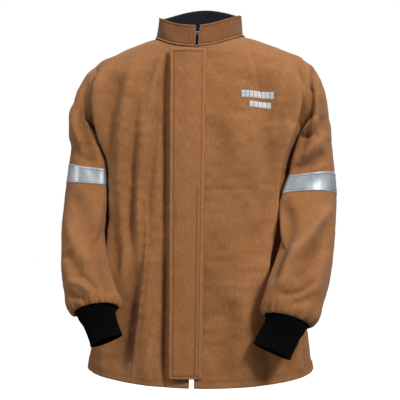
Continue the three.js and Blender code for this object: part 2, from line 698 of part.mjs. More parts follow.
for (const [name, side] of [["right", -1], ["left", 1]]) {
  const rings = sleeveRings(BAND_HEIGHTS[name]);
  for (const [face, front] of [["front", true], ["back", false]]) {
    addMesh(name + "_upper_sleeve_" + face, sleeveHalf(side, front, rings.upper, CLOTH), cloth);
    addMesh(name + "_lower_sleeve_" + face, sleeveHalf(side, front, rings.lower, CLOTH), cloth);
  }
  addMesh(name + "_sleeve_liner", sleeveTube(side, rings.liner, LINER_DEPTH, LINER), liner);
  addMesh(
    name + "_reflective_band",
    sleeveTube(side, rings.band, -BAND_THICKNESS - FIT, BAND_THICKNESS),
    reflective,
  );
  addMesh(
    name + "_knit_cuff",
    sheetGeometry(
      SLEEVE_SIDES,
      4,
      (u, v) => cuffPoint(side, u, v, 0),
      (u, v) => cuffPoint(side, u, v, CUFF_THICKNESS),
      true,
    ),
    knit,
  );
}

// ---- small pieces: hanger loop, label, inside pocket and chest print ----
const LOOP_HALF_WIDTH = 32;
const LOOP_DROP = 14;
const LOOP_STRAP = 2;
const LOOP_WIDTH = 7;
const loopShape = new THREE.Shape();
loopShape.moveTo(-LOOP_HALF_WIDTH, 0);
loopShape.quadraticCurveTo(0, -2 * LOOP_DROP, LOOP_HALF_WIDTH, 0);
loopShape.lineTo(LOOP_HALF_WIDTH - 4, 0);
loopShape.quadraticCurveTo(0, -2 * LOOP_DROP + 2 * LOOP_STRAP, 4 - LOOP_HALF_WIDTH, 0);
const loopBody = new THREE.ExtrudeGeometry(loopShape, {
  depth: LOOP_WIDTH,
  bevelEnabled: false,
  curveSegments: 10,
});
loopBody.rotateX(QUARTER);
const LINING_BOW = 3.5; // the lining curves in by this much at the loop's ends
const loopBack = NECK_BACK_DEPTH - CLOTH - FIT - COLLAR_LINING - LINING_BOW;
loopBody.translate(0, loopBack, BACK_NECK_HEIGHT - 6);
addMesh("hanger_loop", loopBody, knit);

const LABEL_WIDTH = 60;
const LABEL_LEVELS = 1.1; // how many rings the label spans
const LABEL_THICKNESS = 0.8;
const INSIDE_FACE = LINER_DEPTH + LINER + 1.6; // pieces on the inside stand clear of the liner
function backPatch(width, height, thickness, middleLevel, rows) {
  const place = (extra) => (u, v) => {
    const level = middleLevel + (v - 0.5) * height;
    const halfTurn = width / 2 / ringValue(level, "halfWidth");
    return bodyInset(2 * QUARTER + mix(-halfTurn, halfTurn, u), level, INSIDE_FACE + extra);
  };
  return sheetGeometry(4, rows, place(0), place(thickness));
}
const labelCloth = material(0xd8d6d0, 0.8);
const labelPatch = backPatch(LABEL_WIDTH, LABEL_LEVELS, LABEL_THICKNESS, TOP_RING - 2.4, 2);
addMesh("neck_label", labelPatch, labelCloth);

// A patch on the front, between two x values and two heights, at a lift above the cloth (or inside it).
function frontPatch(fromX, toX, low, high, lift, thickness, columns, rows) {
  const place = (extra) => (u, v) => frontPoint(mix(fromX, toX, u), mix(low, high, v), lift + extra);
  return sheetGeometry(columns, rows, place(thickness), place(0));
}
const POCKET = { fromX: 66, toX: 172, low: 205, high: 430, thickness: 2, slack: 1 };
addMesh(
  "inside_pocket",
  frontPatch(
    POCKET.fromX,
    POCKET.toX,
    POCKET.low,
    POCKET.high,
    -INSIDE_FACE - POCKET.thickness - POCKET.slack,
    POCKET.thickness,
    4,
    4,
  ),
  liner,
);
const PRINT_THICKNESS = 0.4;
const PRINT_LINES = [
  ["chest_print_upper", 115, 193, FRONT_LENGTH - 129, FRONT_LENGTH - 112],
  ["chest_print_lower", 135, 187, FRONT_LENGTH - 153, FRONT_LENGTH - 138],
];
const print = material(0xb3b9bc, 0.7);
for (const [name, fromX, toX, low, high] of PRINT_LINES) {
  addMesh(name, frontPatch(fromX, toX, low, high, FIT, PRINT_THICKNESS, 4, 1), print);
}

// The whole coat is lowered so that the middle of the neck seam is the origin.
coat.position.set(0, 0, -SIDE_NECK_HEIGHT);

export default coat;
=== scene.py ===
"""The looks of a duck-cloth work coat with a stand collar, a storm flap, reflective arm bands and knit cuffs.

Metres, +Z up, the front faces -Y, the wearer's left is +X and the origin is the middle of the neck seam.
Lengths in the pattern below are millimetres above the front hem, or from the closure's middle line.
"""

import math

import bmesh
import bpy
import numpy as np
from mathutils import Matrix, Vector


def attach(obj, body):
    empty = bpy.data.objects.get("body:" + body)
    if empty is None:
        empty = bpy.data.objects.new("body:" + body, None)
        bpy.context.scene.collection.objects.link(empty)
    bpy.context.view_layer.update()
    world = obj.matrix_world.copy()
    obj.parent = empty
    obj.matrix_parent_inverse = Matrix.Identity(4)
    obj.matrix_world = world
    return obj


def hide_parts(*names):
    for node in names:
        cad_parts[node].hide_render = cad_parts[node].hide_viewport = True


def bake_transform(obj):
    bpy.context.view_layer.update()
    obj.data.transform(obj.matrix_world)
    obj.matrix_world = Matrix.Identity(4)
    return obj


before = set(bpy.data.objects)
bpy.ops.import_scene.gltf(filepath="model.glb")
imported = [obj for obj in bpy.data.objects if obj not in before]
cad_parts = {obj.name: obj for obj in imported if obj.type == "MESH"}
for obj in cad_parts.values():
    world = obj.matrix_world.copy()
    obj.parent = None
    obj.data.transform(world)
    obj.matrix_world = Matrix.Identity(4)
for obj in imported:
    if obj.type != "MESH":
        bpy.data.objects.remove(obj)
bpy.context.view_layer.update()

MM = 0.001
SIDE_NECK = 852.0
FRONT_LENGTH = 816.0
BACK_NECK = 884.0
NECK_HALF_WIDTH = 111.0
CLOSURE_X = 4.0
CLOTH = 3.0
LINER_DEPTH = 4.8
QUARTER = math.pi / 2
SIDES = (("right", -1), ("left", 1))

# ---- pattern: rings of the body from the hem to the neck seam ----
# front height, side height, back height, half width, back depth, squareness
RINGS = np.array(
    [
        (0, 22, 8, 285, 150, 2.4),
        (38, 56, 45, 279, 147, 2.4),
        (100, 112, 104, 270, 143, 2.4),
        (180, 186, 182, 256, 138, 2.4),
        (270, 273, 271, 243, 133, 2.4),
        (355, 356, 355, 231, 129, 2.4),
        (440, 440, 440, 225, 128, 2.6),
        (530, 530, 530, 229, 130, 2.9),
        (610, 612, 612, 254, 130, 3.3),
        (690, 696, 696, 266, 126, 3.6),
        (742, 760, 760, 268, 119, 3.2),
        (768, 794, 796, 260, 110, 2.3),
        (783, 812, 826, 222, 100, 2),
        (795, 830, 852, 177.65, 92, 2),
        (806, 844, 871, 140, 80, 2),
        (816, 852, 884, 111, 70, 2),
    ],
    float,
)
# sleeve rings: inner x and drop, outer x and drop, how far ahead, half depth, tip
STATIONS = np.array(
    [
        (268, 178, 268, 2, 0, 64, 0),
        (270, 188, 292, 22, 0, 70, 0),
        (270, 200, 314, 73, 2, 76, 0),
        (262, 218, 326, 143, 4, 79, 0),
        (244, 248, 332, 213, 6, 78, 0),
        (234, 292, 338, 276, 10, 76, 0.08),
        (232, 338, 342, 330, 22, 73, 0.2),
        (234, 396, 341, 390, 48, 71, 0.36),
        (226, 450, 335, 458, 84, 69, 0.48),
        (206, 512, 324, 530, 124, 68, 0.48),
        (182, 566, 304, 592, 154, 64, 0.44),
        (170, 606, 280, 630, 170, 54, 0.42),
    ],
    float,
)
TOP_RING = len(RINGS) - 1
LAST_STATION = len(STATIONS) - 1
ARMHOLE_TOP = SIDE_NECK - 64
ARMHOLE_MIDDLE = 698.0
ARMHOLE_HALF_HEIGHT = 90.0
ARMHOLE_HALF_DEPTH = 64.0


def spline(table, level):
    """Catmull-Rom through a table's rows, at many levels at once."""
    top = len(table) - 1
    k = np.clip(np.floor(level).astype(int), 0, top - 1)
    t = (level - k)[:, None]
    here = table[k]
    there = table[k + 1]
    slope_here = (there - table[np.clip(k - 1, 0, top)]) / 2
    slope_there = (table[np.clip(k + 2, 0, top)] - here) / 2
    rise = there - here
    bend = 3 * rise - 2 * slope_here - slope_there
    twist = slope_here + slope_there - 2 * rise
    return here + t * slope_here + t**2 * bend + t**3 * twist


def body_point(turn, level):
    """Points of the coat's outer surface.
    turn is 0 at the front middle and a quarter turn at the left side."""
    front, side, back, half, back_depth, square = spline(RINGS, level).T
    s = np.sin(turn)
    c = np.cos(turn)
    shrink = (np.abs(s) ** square + np.abs(c) ** square) ** (-1 / square)
    ahead = c > 0
    depth = np.where(ahead, 175 - 83 * front / FRONT_LENGTH, back_depth)
    height = side + (np.where(ahead, front, back) - side) * c * c
    return np.stack((half * shrink * s, -depth * shrink * c, height - SIDE_NECK), 1) * MM


def turn_at(x, level):
    """The turn at which the front reaches x, in millimetres, at a level."""
    values = spline(RINGS, level)
    half = values[:, 3]
    square = values[:, 5]
    ratio = (half / np.clip(np.abs(x), 1e-6, half * 0.99999)) ** square
    return np.sign(x) * np.arctan2(1, (ratio - 1) ** (1 / square))


def level_at(x, height):
    """The level at which the front, at x, reaches a height."""
    low = np.zeros_like(x)
    high = np.full_like(x, float(TOP_RING))
    for _ in range(26):
        middle = (low + high) / 2
        reached = body_point(turn_at(x, middle), middle)[:, 2] / MM + SIDE_NECK
        under = reached < height
        low = np.where(under, middle, low)
        high = np.where(under, high, middle)
    return (low + high) / 2


def sleeve_point(side, turn, level):
    """Points of a sleeve's outer surface. turn is 0 at its outer line and a quarter turn at its front."""
    under_x, under_drop, over_x, over_drop, ahead, half, tip = spline(STATIONS, level).T
    axis = np.stack((over_x - under_x, under_drop - over_drop), 1)
    length = np.linalg.norm(axis, axis=1)
    axis = axis / length[:, None]
    across = length / 2 * np.cos(turn)
    forward = half * np.sin(turn)
    x = (over_x + under_x) / 2 + axis[:, 0] * across
    z = ARMHOLE_TOP - (over_drop + under_drop) / 2 + axis[:, 1] * across + np.sin(tip) * forward
    z = z - side * 8 * np.clip((level - 5) / 6, 0, 1)
    y = -np.cos(tip) * forward - ahead
    inner = smooth_step(0.1, 0.75, -np.cos(turn)) * smooth_step(0.9, 2.2, level) * smooth_step(
        9.6, 7.6, level
    )
    against = np.interp(z, RINGS[:, 1], RINGS[:, 3]) + 0.5
    x = np.where(x > against, x + (against - x) * inner, x)
    if side > 0:
        toward = np.clip(np.cos(turn - 2.4), 0, 1) ** 2 * smooth_step(4.5, 7, level) * smooth_step(
            11, 9, level
        )
        x = x - 22 * toward
        y = y - 10 * toward
    return np.stack((side * x, y, z - SIDE_NECK), 1) * MM


def even_levels(point_rows, low, high, count):
    """Levels from low to high that lie evenly along the cloth.
    point_rows gives one line of points of levels."""
    fine = np.linspace(low, high, 400)
    steps = sum(np.linalg.norm(np.diff(line(fine), axis=0), axis=1) for line in point_rows)
    run = np.concatenate(([0], np.cumsum(steps)))
    return np.interp(np.linspace(0, run[-1], count), run, fine)


# ---- folds: each is drawn down the cloth as a smoothed line of (x, height) in millimetres ----
def smooth_line(points, pieces=10):
    """The line through the points, rounded."""
    table = np.array(points, float)
    if len(table) < 3:
        return table
    return spline(table, np.linspace(0, len(table) - 1, pieces * (len(table) - 1) + 1))


def line_distance(points, line):
    """Signed distance of each point to a line, and how far along the line it is, from 0 to 1."""
    best = np.full(len(points), 1e9)
    signed = np.zeros(len(points))
    along = np.zeros(len(points))
    steps = np.linalg.norm(np.diff(line, axis=0), axis=1)
    runs = np.concatenate(([0], np.cumsum(steps)))
    for a, b, run, step in zip(line[:-1], line[1:], runs, steps):
        way = (b - a) / step
        offset = points - a
        t = np.clip(offset @ way, 0, step)
        gap = offset - t[:, None] * way
        distance = np.hypot(gap[:, 0], gap[:, 1])
        nearer = distance < best
        best = np.where(nearer, distance, best)
        signed = np.where(nearer, way[0] * offset[:, 1] - way[1] * offset[:, 0], signed)
        along = np.where(nearer, (run + t) / runs[-1], along)
    return best, signed, along


def fold(points, width, depth, route, shape="soft", taper=0.18):
    """How far one fold moves the cloth out, in millimetres. A valley has a depth below 0.
    soft is a rounded fold, sharp a pinched one, and step lifts one side and drops the other.
    lip rolls over at its outer side into a deep groove."""
    distance, signed, along = line_distance(points, smooth_line(route))
    ends = np.clip(np.minimum(along, 1 - along) / taper, 0, 1)
    ends = 0.15 + 0.85 * ends * ends * (3 - 2 * ends)
    if shape == "soft":
        profile = np.exp(-((distance / width) ** 2))
    elif shape == "sharp":
        profile = np.exp(-((distance / width) ** 1.15))
    elif shape == "lip":
        outer = np.where(points[:, 0] < 0, -signed, signed)
        falls = 2.0 * np.exp(-((distance / (0.28 * width)) ** 2)) - np.exp(-((distance / width) ** 2))
        profile = np.where(outer > 0, falls, np.exp(-((distance / (1.25 * width)) ** 2)))
    else:
        profile = np.tanh(signed / (0.45 * width)) * np.exp(-((distance / (1.7 * width)) ** 2))
    return depth * ends * profile


def lattice_noise(points, size, seed):
    """Smooth noise from -1 to 1 over (x, height), with cells of the given size in millimetres."""
    table = np.random.RandomState(seed).uniform(-1, 1, (64, 64))
    p = points / size + 1000
    cell = np.floor(p).astype(int)
    t = p - cell
    t = t * t * t * (t * (6 * t - 15) + 10)
    a = cell % 64
    b = (cell + 1) % 64
    low = table[a[:, 0], a[:, 1]] * (1 - t[:, 0]) + table[b[:, 0], a[:, 1]] * t[:, 0]
    high = table[a[:, 0], b[:, 1]] * (1 - t[:, 0]) + table[b[:, 0], b[:, 1]] * t[:, 0]
    return low * (1 - t[:, 1]) + high * t[:, 1]


def smooth_step(low, high, value):
    t = np.clip((value - low) / (high - low), 0, 1)
    return t * t * (3 - 2 * t)


# width, depth, shape, route from top to bottom
FRONT_FOLDS = [
    (
        13,
        -8,
        "soft",
        [(-92, 818), (-102, 774), (-122, 728), (-140, 660), (-150, 560), (-156, 440), (-158, 300)],
    ),
    (10, 7, "sharp", [(-84, 816), (-90, 770), (-104, 700), (-116, 600), (-128, 480)]),
    (10, -6, "soft", [(-76, 806), (-82, 750), (-90, 660), (-100, 560), (-110, 450), (-112, 330)]),
    (
        20,
        -9,
        "soft",
        [(-170, 800), (-190, 740), (-206, 660), (-216, 560), (-206, 450), (-190, 330), (-176, 200)],
    ),
    (
        16,
        9,
        "soft",
        [(-148, 800), (-166, 720), (-180, 640), (-190, 540), (-184, 420), (-170, 300), (-164, 180)],
    ),
    (13, 7, "soft", [(-118, 760), (-130, 690), (-136, 590), (-138, 480), (-134, 380), (-136, 260)]),
    (9, -5, "soft", [(-132, 640), (-146, 540), (-150, 420), (-146, 300)]),
    (11, -11, "soft", [(-64, 812), (-69, 740), (-69, 640), (-67, 540), (-65, 420), (-63, 300)]),
    (12, -15, "soft", [(-64, 330), (-63, 220), (-62, 110), (-58, -8)]),
    (4.5, 5, "sharp", [(-118, 442), (-112, 340), (-120, 236), (-130, 146), (-138, 60), (-143, -8)]),
    (18, -14, "soft", [(-134, 300), (-148, 220), (-162, 120), (-178, 10)]),
    (18, 11, "soft", [(-90, 340), (-98, 200), (-102, 100), (-104, -8)]),
    (11, -7, "soft", [(-84, 300), (-96, 180), (-114, 60)]),
    (18, 9, "soft", [(-210, 190), (-222, 100), (-230, 10)]),
    (22, -8, "soft", [(160, 800), (172, 720), (186, 600), (184, 480), (168, 360), (160, 240)]),
    (13, -7, "soft", [(214, 690), (208, 600), (198, 500), (186, 400)]),
    (18, 7, "soft", [(140, 660), (156, 560), (160, 460), (148, 340)]),
    (15, 8, "soft", [(228, 790), (214, 715), (198, 640), (192, 560)]),
    (12, -7, "soft", [(250, 770), (240, 690), (226, 610)]),
    (5, -4, "sharp", [(134, 824), (142, 790), (154, 740), (164, 690)]),
    (9, 4, "sharp", [(126, 815), (132, 780), (142, 730)]),
    (2.8, -1.6, "soft", [(26, 468), (151, 468)]),
    (2.8, -1.3, "soft", [(98, 296), (98, 212)]),
    (34, -6, "soft", [(57, 380), (54, 260), (50, 134)]),
    (24, 7, "soft", [(124, 280), (130, 140), (140, -5)]),
    (20, -8, "soft", [(96, 220), (90, 100), (86, -5)]),
    (16, -7, "soft", [(168, 150), (184, 60), (190, -5)]),
    (12, 8, "soft", [(238, 160), (256, 20)]),
    (10, -8, "soft", [(222, 150), (230, 20)]),
    (10, -7, "soft", [(262, 150), (272, 20)]),
    (30, 6, "soft", [(110, 660), (118, 560), (110, 490)]),
    (26, -5, "soft", [(60, 640), (66, 540), (60, 440)]),
]
# x here runs on round the corner of the coat, so that a lip stays in front of the sleeve
LIPS = [
    (
        26,
        19,
        "lip",
        [
            (-262, 792),
            (-270, 700),
            (-262, 610),
            (-246, 540),
            (-232, 440),
            (-226, 345),
            (-212, 271),
            (-192, 170),
        ],
    ),
    (
        26,
        16,
        "lip",
        [
            (276, 780),
            (272, 700),
            (262, 640),
            (242, 598),
            (224, 535),
            (214, 470),
            (200, 396),
            (180, 310),
            (174, 200),
        ],
    ),
]
SIDE_SEAM = [(-122, 442), (-116, 340), (-124, 236), (-134, 146), (-142, 60), (-147, -8)]
BACK_FOLDS = [
    (26, -7, "soft", [(-150, 800), (-130, 690), (-120, 560)]),
    (26, -7, "soft", [(150, 805), (132, 700), (124, 540)]),
    (16, -7, "step", [(-205, 640), (-160, 560), (-90, 500)]),
    (16, 7, "step", [(205, 630), (165, 540), (100, 480)]),
    (22, -9, "soft", [(-70, 420), (-84, 250), (-96, 20)]),
    (24, 8, "soft", [(-20, 460), (-28, 260), (-38, 0)]),
    (22, -9, "soft", [(52, 430), (62, 230), (76, 10)]),
    (24, 8, "soft", [(126, 480), (140, 260), (158, 10)]),
    (24, 8, "soft", [(-150, 470), (-160, 260), (-178, 10)]),
    (20, -6, "soft", [(200, 420), (214, 200), (226, 20)]),
    (14, -4, "soft", [(-60, 850), (-70, 780), (-66, 700)]),
    (14, 4, "soft", [(40, 860), (52, 780), (60, 690)]),
    (12, -3, "step", [(-120, 330), (-20, 316), (70, 334)]),
]
# along the side, x is replaced by the distance round from the side seam towards the front
SIDE_FOLDS = [
    (16, -6, "soft", [(-20, 560), (-28, 430), (-10, 300)]),
    (20, 7, "soft", [(24, 520), (18, 330), (30, 120)]),
    (18, -8, "soft", [(4, 300), (-4, 160), (2, 20)]),
    (12, -4, "step", [(-60, 470), (0, 440), (60, 455)]),
    (18, 6, "soft", [(-44, 330), (-50, 160), (-56, 20)]),
]


def cloth_shift(points, normals):
    """How far the body's folds move each point out, in metres."""
    height = points[:, 2] / MM + SIDE_NECK
    flat = np.stack((points[:, 0] / MM, height), 1)
    round_side = np.stack((-points[:, 1] / MM, height), 1)
    front = smooth_step(0.05, 0.5, -normals[:, 1])
    back = smooth_step(0.05, 0.5, normals[:, 1])
    beside = smooth_step(0.35, 0.85, np.abs(normals[:, 0]))
    shift = np.zeros(len(points))
    for mask, table, place in (
        (front, FRONT_FOLDS, flat), (back, BACK_FOLDS, flat), (beside, SIDE_FOLDS, round_side)
    ):
        for width, depth, shape, route in table:
            shift += mask * fold(place, width, depth, route, shape)
    low = smooth_step(0, 60, height) * smooth_step(FRONT_LENGTH + 40, FRONT_LENGTH - 60, height)
    turned = np.stack((flat[:, 0] + 0.6 * flat[:, 1], 0.45 * flat[:, 1] + 3 * points[:, 1] / MM), 1)
    shift += 2.6 * low * lattice_noise(turned, 58, 3)
    shift += 1.2 * low * lattice_noise(flat + 0.7 * round_side, 24, 5)
    shift += 0.35 * lattice_noise(flat + 1.3 * round_side, 9, 8)
    pucker = np.exp(-(((height - 30) / 26) ** 2))
    shift += 1.3 * pucker * lattice_noise(np.stack((flat[:, 0] + round_side[:, 0], 0.3 * height), 1), 13, 11)
    hem = smooth_step(20, 16, height - hem_height(points))
    shift += 0.9 * hem
    neck = smooth_step(FRONT_LENGTH - 6, FRONT_LENGTH - 26, height)
    keep = np.where(normals[:, 1] < 0, np.maximum(neck, 0.12), smooth_step(884, 850, height))
    armhole = armhole_gap(points)
    keep = keep * (0.2 + 0.8 * smooth_step(0, 30, armhole))
    under_flap = smooth_step(-64, -54, flat[:, 0]) * (flat[:, 0] < 26) * (points[:, 1] < 0)
    shift = shift * (1 - under_flap) + np.clip(shift, -6, 0.4) * under_flap
    shift = shift * keep
    corner = np.abs(flat[:, 0]) + np.clip(points[:, 1] / MM + 90, 0, 400)
    unrolled = np.stack((np.sign(flat[:, 0]) * corner, height), 1)
    ahead = smooth_step(-0.05, 0.2, -normals[:, 1]) * (points[:, 1] < 0.03)
    for width, depth, shape, route in LIPS:
        shift += ahead * fold(unrolled, width, depth, route, shape, 0.12)
    return shift * MM


def hem_height(points):
    """The height of the hem's edge under each point."""
    share = np.clip(np.abs(points[:, 0]) / 0.285, 0, 1)
    middle = np.where(points[:, 1] < 0, 0, 8)
    dip = -5 * np.exp(-(((points[:, 0] + 0.115) / 0.045) ** 2)) * (points[:, 1] < 0)
    return middle + (22 - middle) * share**2 + dip


def armhole_gap(points):
    """Distance from each point to the armhole's edge, in millimetres, below 0 inside it."""
    height = points[:, 2] / MM + SIDE_NECK - ARMHOLE_MIDDLE
    depth = points[:, 1] / MM
    ratio = np.hypot(depth / ARMHOLE_HALF_DEPTH, height / ARMHOLE_HALF_HEIGHT)
    gap = (ratio - 1) * np.hypot(depth, height) / np.maximum(ratio, 1e-6)
    return np.where(np.abs(points[:, 0]) > 0.2, gap, 200)


SLEEVE_FOLDS = {
    -1: [
        (13, -8, "soft", [(-280, 775), (-282, 700), (-278, 620), (-262, 540), (-248, 470)]),
        (14, -6, "soft", [(-312, 690), (-298, 650), (-284, 600), (-270, 560)]),
        (12, 8, "soft", [(-320, 690), (-306, 630), (-284, 570)]),
        (18, -7, "soft", [(-322, 600), (-300, 560), (-262, 520)]),
        (18, -9, "soft", [(-306, 462), (-282, 424), (-256, 384), (-232, 350)]),
        (12, -4, "soft", [(-242, 380), (-230, 320), (-212, 260)]),
        (14, 8, "soft", [(-308, 390), (-290, 352), (-256, 312), (-226, 290)]),
        (13, -7, "soft", [(-306, 318), (-284, 292), (-250, 268)]),
        (12, -10, "soft", [(-210, 310), (-196, 260), (-178, 215)]),
        (9, -9, "sharp", [(-276, 262), (-250, 262), (-224, 244), (-206, 228)]),
        (9, 6, "soft", [(-290, 250), (-256, 246), (-226, 226)]),
        (8, -6, "soft", [(-300, 225), (-268, 214), (-236, 208)]),
        (18, 4, "soft", [(-300, 310), (-290, 262), (-270, 215)]),
        (16, 6, "soft", [(-314, 745), (-322, 660), (-330, 570)]),
    ],
    1: [
        (8, -11, "sharp", [(292, 778), (286, 745), (276, 700)]),
        (11, -11, "soft", [(284, 740), (276, 660), (264, 590), (250, 530)]),
        (7, -10, "soft", [(246, 600), (264, 598), (284, 602)]),
        (12, 7, "soft", [(250, 636), (276, 624), (300, 640)]),
        (13, -12, "soft", [(230, 512), (262, 520), (290, 536), (322, 556)]),
        (13, 9, "soft", [(328, 612), (300, 580), (272, 556), (248, 548)]),
        (12, -8, "soft", [(322, 650), (304, 616), (286, 590)]),
        (14, 7, "soft", [(250, 500), (284, 506), (326, 528)]),
        (15, -14, "soft", [(210, 446), (222, 420), (232, 390), (228, 350), (206, 300), (190, 240)]),
        (14, 12, "soft", [(330, 436), (298, 386), (262, 340), (226, 300)]),
        (12, -9, "soft", [(322, 392), (292, 340), (256, 296)]),
        (16, -9, "soft", [(306, 350), (280, 296), (248, 250)]),
        (14, 8, "soft", [(250, 350), (228, 290), (206, 236)]),
        (10, -9, "sharp", [(296, 262), (266, 238), (234, 230), (206, 232)]),
        (12, 7, "soft", [(318, 330), (304, 270), (286, 222)]),
        (18, -7, "soft", [(308, 700), (318, 640), (326, 560)]),
        (8, -7, "soft", [(284, 222), (262, 212), (240, 208)]),
    ],
}
SLEEVE_BACK_FOLDS = [
    (16, -8, "step", [(330, 470), (300, 440), (262, 430)]),
    (14, 6, "soft", [(336, 420), (304, 396), (262, 400)]),
    (18, -7, "soft", [(310, 690), (318, 620), (322, 540)]),
    (12, -6, "soft", [(276, 660), (296, 600), (330, 560)]),
    (15, 6, "soft", [(300, 340), (280, 290), (250, 240)]),
    (12, -6, "soft", [(322, 340), (300, 280), (270, 230)]),
]


def sleeve_shift(side, points, normals, level, turn):
    """How far a sleeve's folds and its gathers at the cuff move each point out, in metres."""
    height = points[:, 2] / MM + SIDE_NECK
    flat = np.stack((points[:, 0] / MM, height), 1)
    front = smooth_step(-0.15, 0.45, -normals[:, 1])
    back = smooth_step(0.1, 0.5, normals[:, 1])
    shift = np.zeros(len(points))
    for width, depth, shape, route in SLEEVE_FOLDS[side]:
        shift += front * fold(flat, width, depth, route, shape)
    mirrored = flat * (side, 1)
    for width, depth, shape, route in SLEEVE_BACK_FOLDS:
        shift += back * fold(mirrored, width, depth, route, shape)
    around = np.stack((turn * 70, height * 0.8 + 400 * side), 1)
    outer = smooth_step(0.6, -0.2, -np.cos(turn))
    shift += outer * (1.6 * lattice_noise(around, 52, 21) + 1.0 * lattice_noise(around, 22, 23))
    shift += 0.35 * lattice_noise(around, 8, 24)
    end = np.clip((level - LAST_STATION + 1.3) / 1.3, 0, 1)
    gather = np.sin(17 * turn + 2.2 * np.sin(3 * turn + side)) + 0.5 * np.sin(29 * turn + side)
    shift += 2.6 * end**2 * gather
    shift += 7 * np.exp(-(((level - LAST_STATION + 0.55) / 0.4) ** 2)) * (0.6 + 0.4 * np.sin(2 * turn + 1))
    shift -= 3.0 * smooth_step(LAST_STATION - 0.22, LAST_STATION, level)
    band_from, band_to = BANDS[side]
    band = np.abs(level - (band_from + band_to) / 2) - (band_to - band_from) / 2
    calm = 0.35 + 0.65 * smooth_step(0, 0.5, band)
    return shift * calm * smooth_step(0, 0.9, level) * MM


def sleeve_level_at(height):
    """The level at which a sleeve's middle passes a height."""
    levels = np.linspace(1, LAST_STATION, 2000)
    values = spline(STATIONS, levels)
    middle = ARMHOLE_TOP - (values[:, 1] + values[:, 3]) / 2
    return float(np.interp(-height, -middle, levels))


BAND_HEIGHTS = {-1: 498.0, 1: 476.0}
BAND_HALF_WIDTH = 25.4
BANDS = {
    side: (sleeve_level_at(height + BAND_HALF_WIDTH), sleeve_level_at(height - BAND_HALF_WIDTH))
    for side, height in BAND_HEIGHTS.items()
}


BORDER_WIDTH = 3.0


# ---- pieces ----
def grid_normals(points, ring):
    """Normals of a lattice of points, shaped (rows, columns, 3)."""
    if ring:
        points = np.concatenate((points[:, -2:-1], points, points[:, 1:2]), 1)
    across = np.gradient(points, axis=1)
    along = np.gradient(points, axis=0)
    normals = np.cross(across, along)
    normals /= np.maximum(np.linalg.norm(normals, axis=2, keepdims=True), 1e-12)
    return normals[:, 1:-1] if ring else normals


FLAT_SIZES = {}


def flat_size(points):
    """The width, length and area of the cloth that a lattice of points was cut from, before it was folded."""
    across = np.diff(points, axis=1)
    along = np.diff(points, axis=0)
    width = np.linalg.norm(across, axis=2).sum(1).max()
    length = np.linalg.norm(along, axis=2).sum(0).max()
    cells = np.linalg.norm(np.cross(across[:-1], along[:, :-1]), axis=2)
    return float(width), float(length), float(cells.sum())


def cloth_piece(
    name, columns, rows, surface, size, shift=None, ring=False, flip=False, hole=False, seams=None
):
    """A sheet of cloth. surface(across, along) gives its points, and shift(points, normals, across, along)
    its folds. size is its width and length in metres, for its weave."""
    across, along = np.meshgrid(np.linspace(0, 1, columns + 1), np.linspace(0, 1, rows + 1))
    flat_across = across.ravel()
    flat_along = along.ravel()
    points = surface(flat_across, flat_along).reshape(rows + 1, columns + 1, 3)
    normals = grid_normals(points, ring) * (-1 if flip else 1)
    moved = np.zeros(points.shape[:2])
    if shift is not None:
        moved = shift(points.reshape(-1, 3), normals.reshape(-1, 3), flat_across, flat_along)
        moved = moved.reshape(points.shape[:2])
    final = points + normals * moved[..., None]
    FLAT_SIZES[name] = flat_size(points)
    bm = bmesh.new()
    bm.loops.layers.uv.new("UVMap")
    bmesh.ops.create_grid(bm, x_segments=columns, y_segments=rows, size=0.5, calc_uvs=True)
    mesh = bpy.data.meshes.new(name)
    bm.to_mesh(mesh)
    bm.free()
    start = np.zeros(len(mesh.vertices) * 3)
    mesh.vertices.foreach_get("co", start)
    start = start.reshape(-1, 3)
    i = np.rint((start[:, 0] + 0.5) * columns).astype(int)
    j = np.rint((start[:, 1] + 0.5) * rows).astype(int)
    mesh.vertices.foreach_set("co", final[j, i].ravel())
    # the fold shift in centimetres: the shaders paint shade into the fold valleys from it and lighten the
    # duck's raised folds
    crease = mesh.attributes.new("crease", "FLOAT", "POINT")
    crease.data.foreach_set("value", (moved[j, i] / MM / 10).astype(np.float32))
    sides = np.minimum(across, 1 - across) * size[0] if not ring else np.full_like(across, 1.0)
    ends = np.minimum(along, 1 - along) * size[1]
    border = np.exp(-np.minimum(sides, ends) / MM / BORDER_WIDTH)
    wear = mesh.attributes.new("border", "FLOAT", "POINT")
    wear.data.foreach_set("value", border[j, i].astype(np.float32))
    # the stitching lines, 0 to 1: the duck shader darkens the cloth along them as painted shade of their
    # grooves
    sewn = mesh.attributes.new("seam", "FLOAT", "POINT")
    if seams is not None:
        lines = seams(points.reshape(-1, 3), flat_across, flat_along).reshape(points.shape[:2])
        sewn.data.foreach_set("value", lines[j, i].astype(np.float32))
    uv = np.zeros(len(mesh.loops) * 2)
    mesh.uv_layers[0].data.foreach_get("uv", uv)
    uv = uv.reshape(-1, 2) * size
    mesh.uv_layers[0].data.foreach_set("uv", uv.ravel())
    bm = bmesh.new()
    bm.from_mesh(mesh)
    if flip:
        bmesh.ops.reverse_faces(bm, faces=bm.faces[:])
    if hole:
        whole = sum(face.calc_area() for face in bm.faces)
        cut_armhole(bm)
        width, length, area = FLAT_SIZES[name]
        FLAT_SIZES[name] = (width, length, area * sum(face.calc_area() for face in bm.faces) / whole)
    if ring:
        bmesh.ops.remove_doubles(bm, verts=bm.verts[:], dist=1e-5)
    for face in bm.faces:
        face.smooth = True
    bm.to_mesh(mesh)
    bm.free()
    mesh.update()
    piece = bpy.data.objects.new(name, mesh)
    bpy.context.scene.collection.objects.link(piece)
    return piece


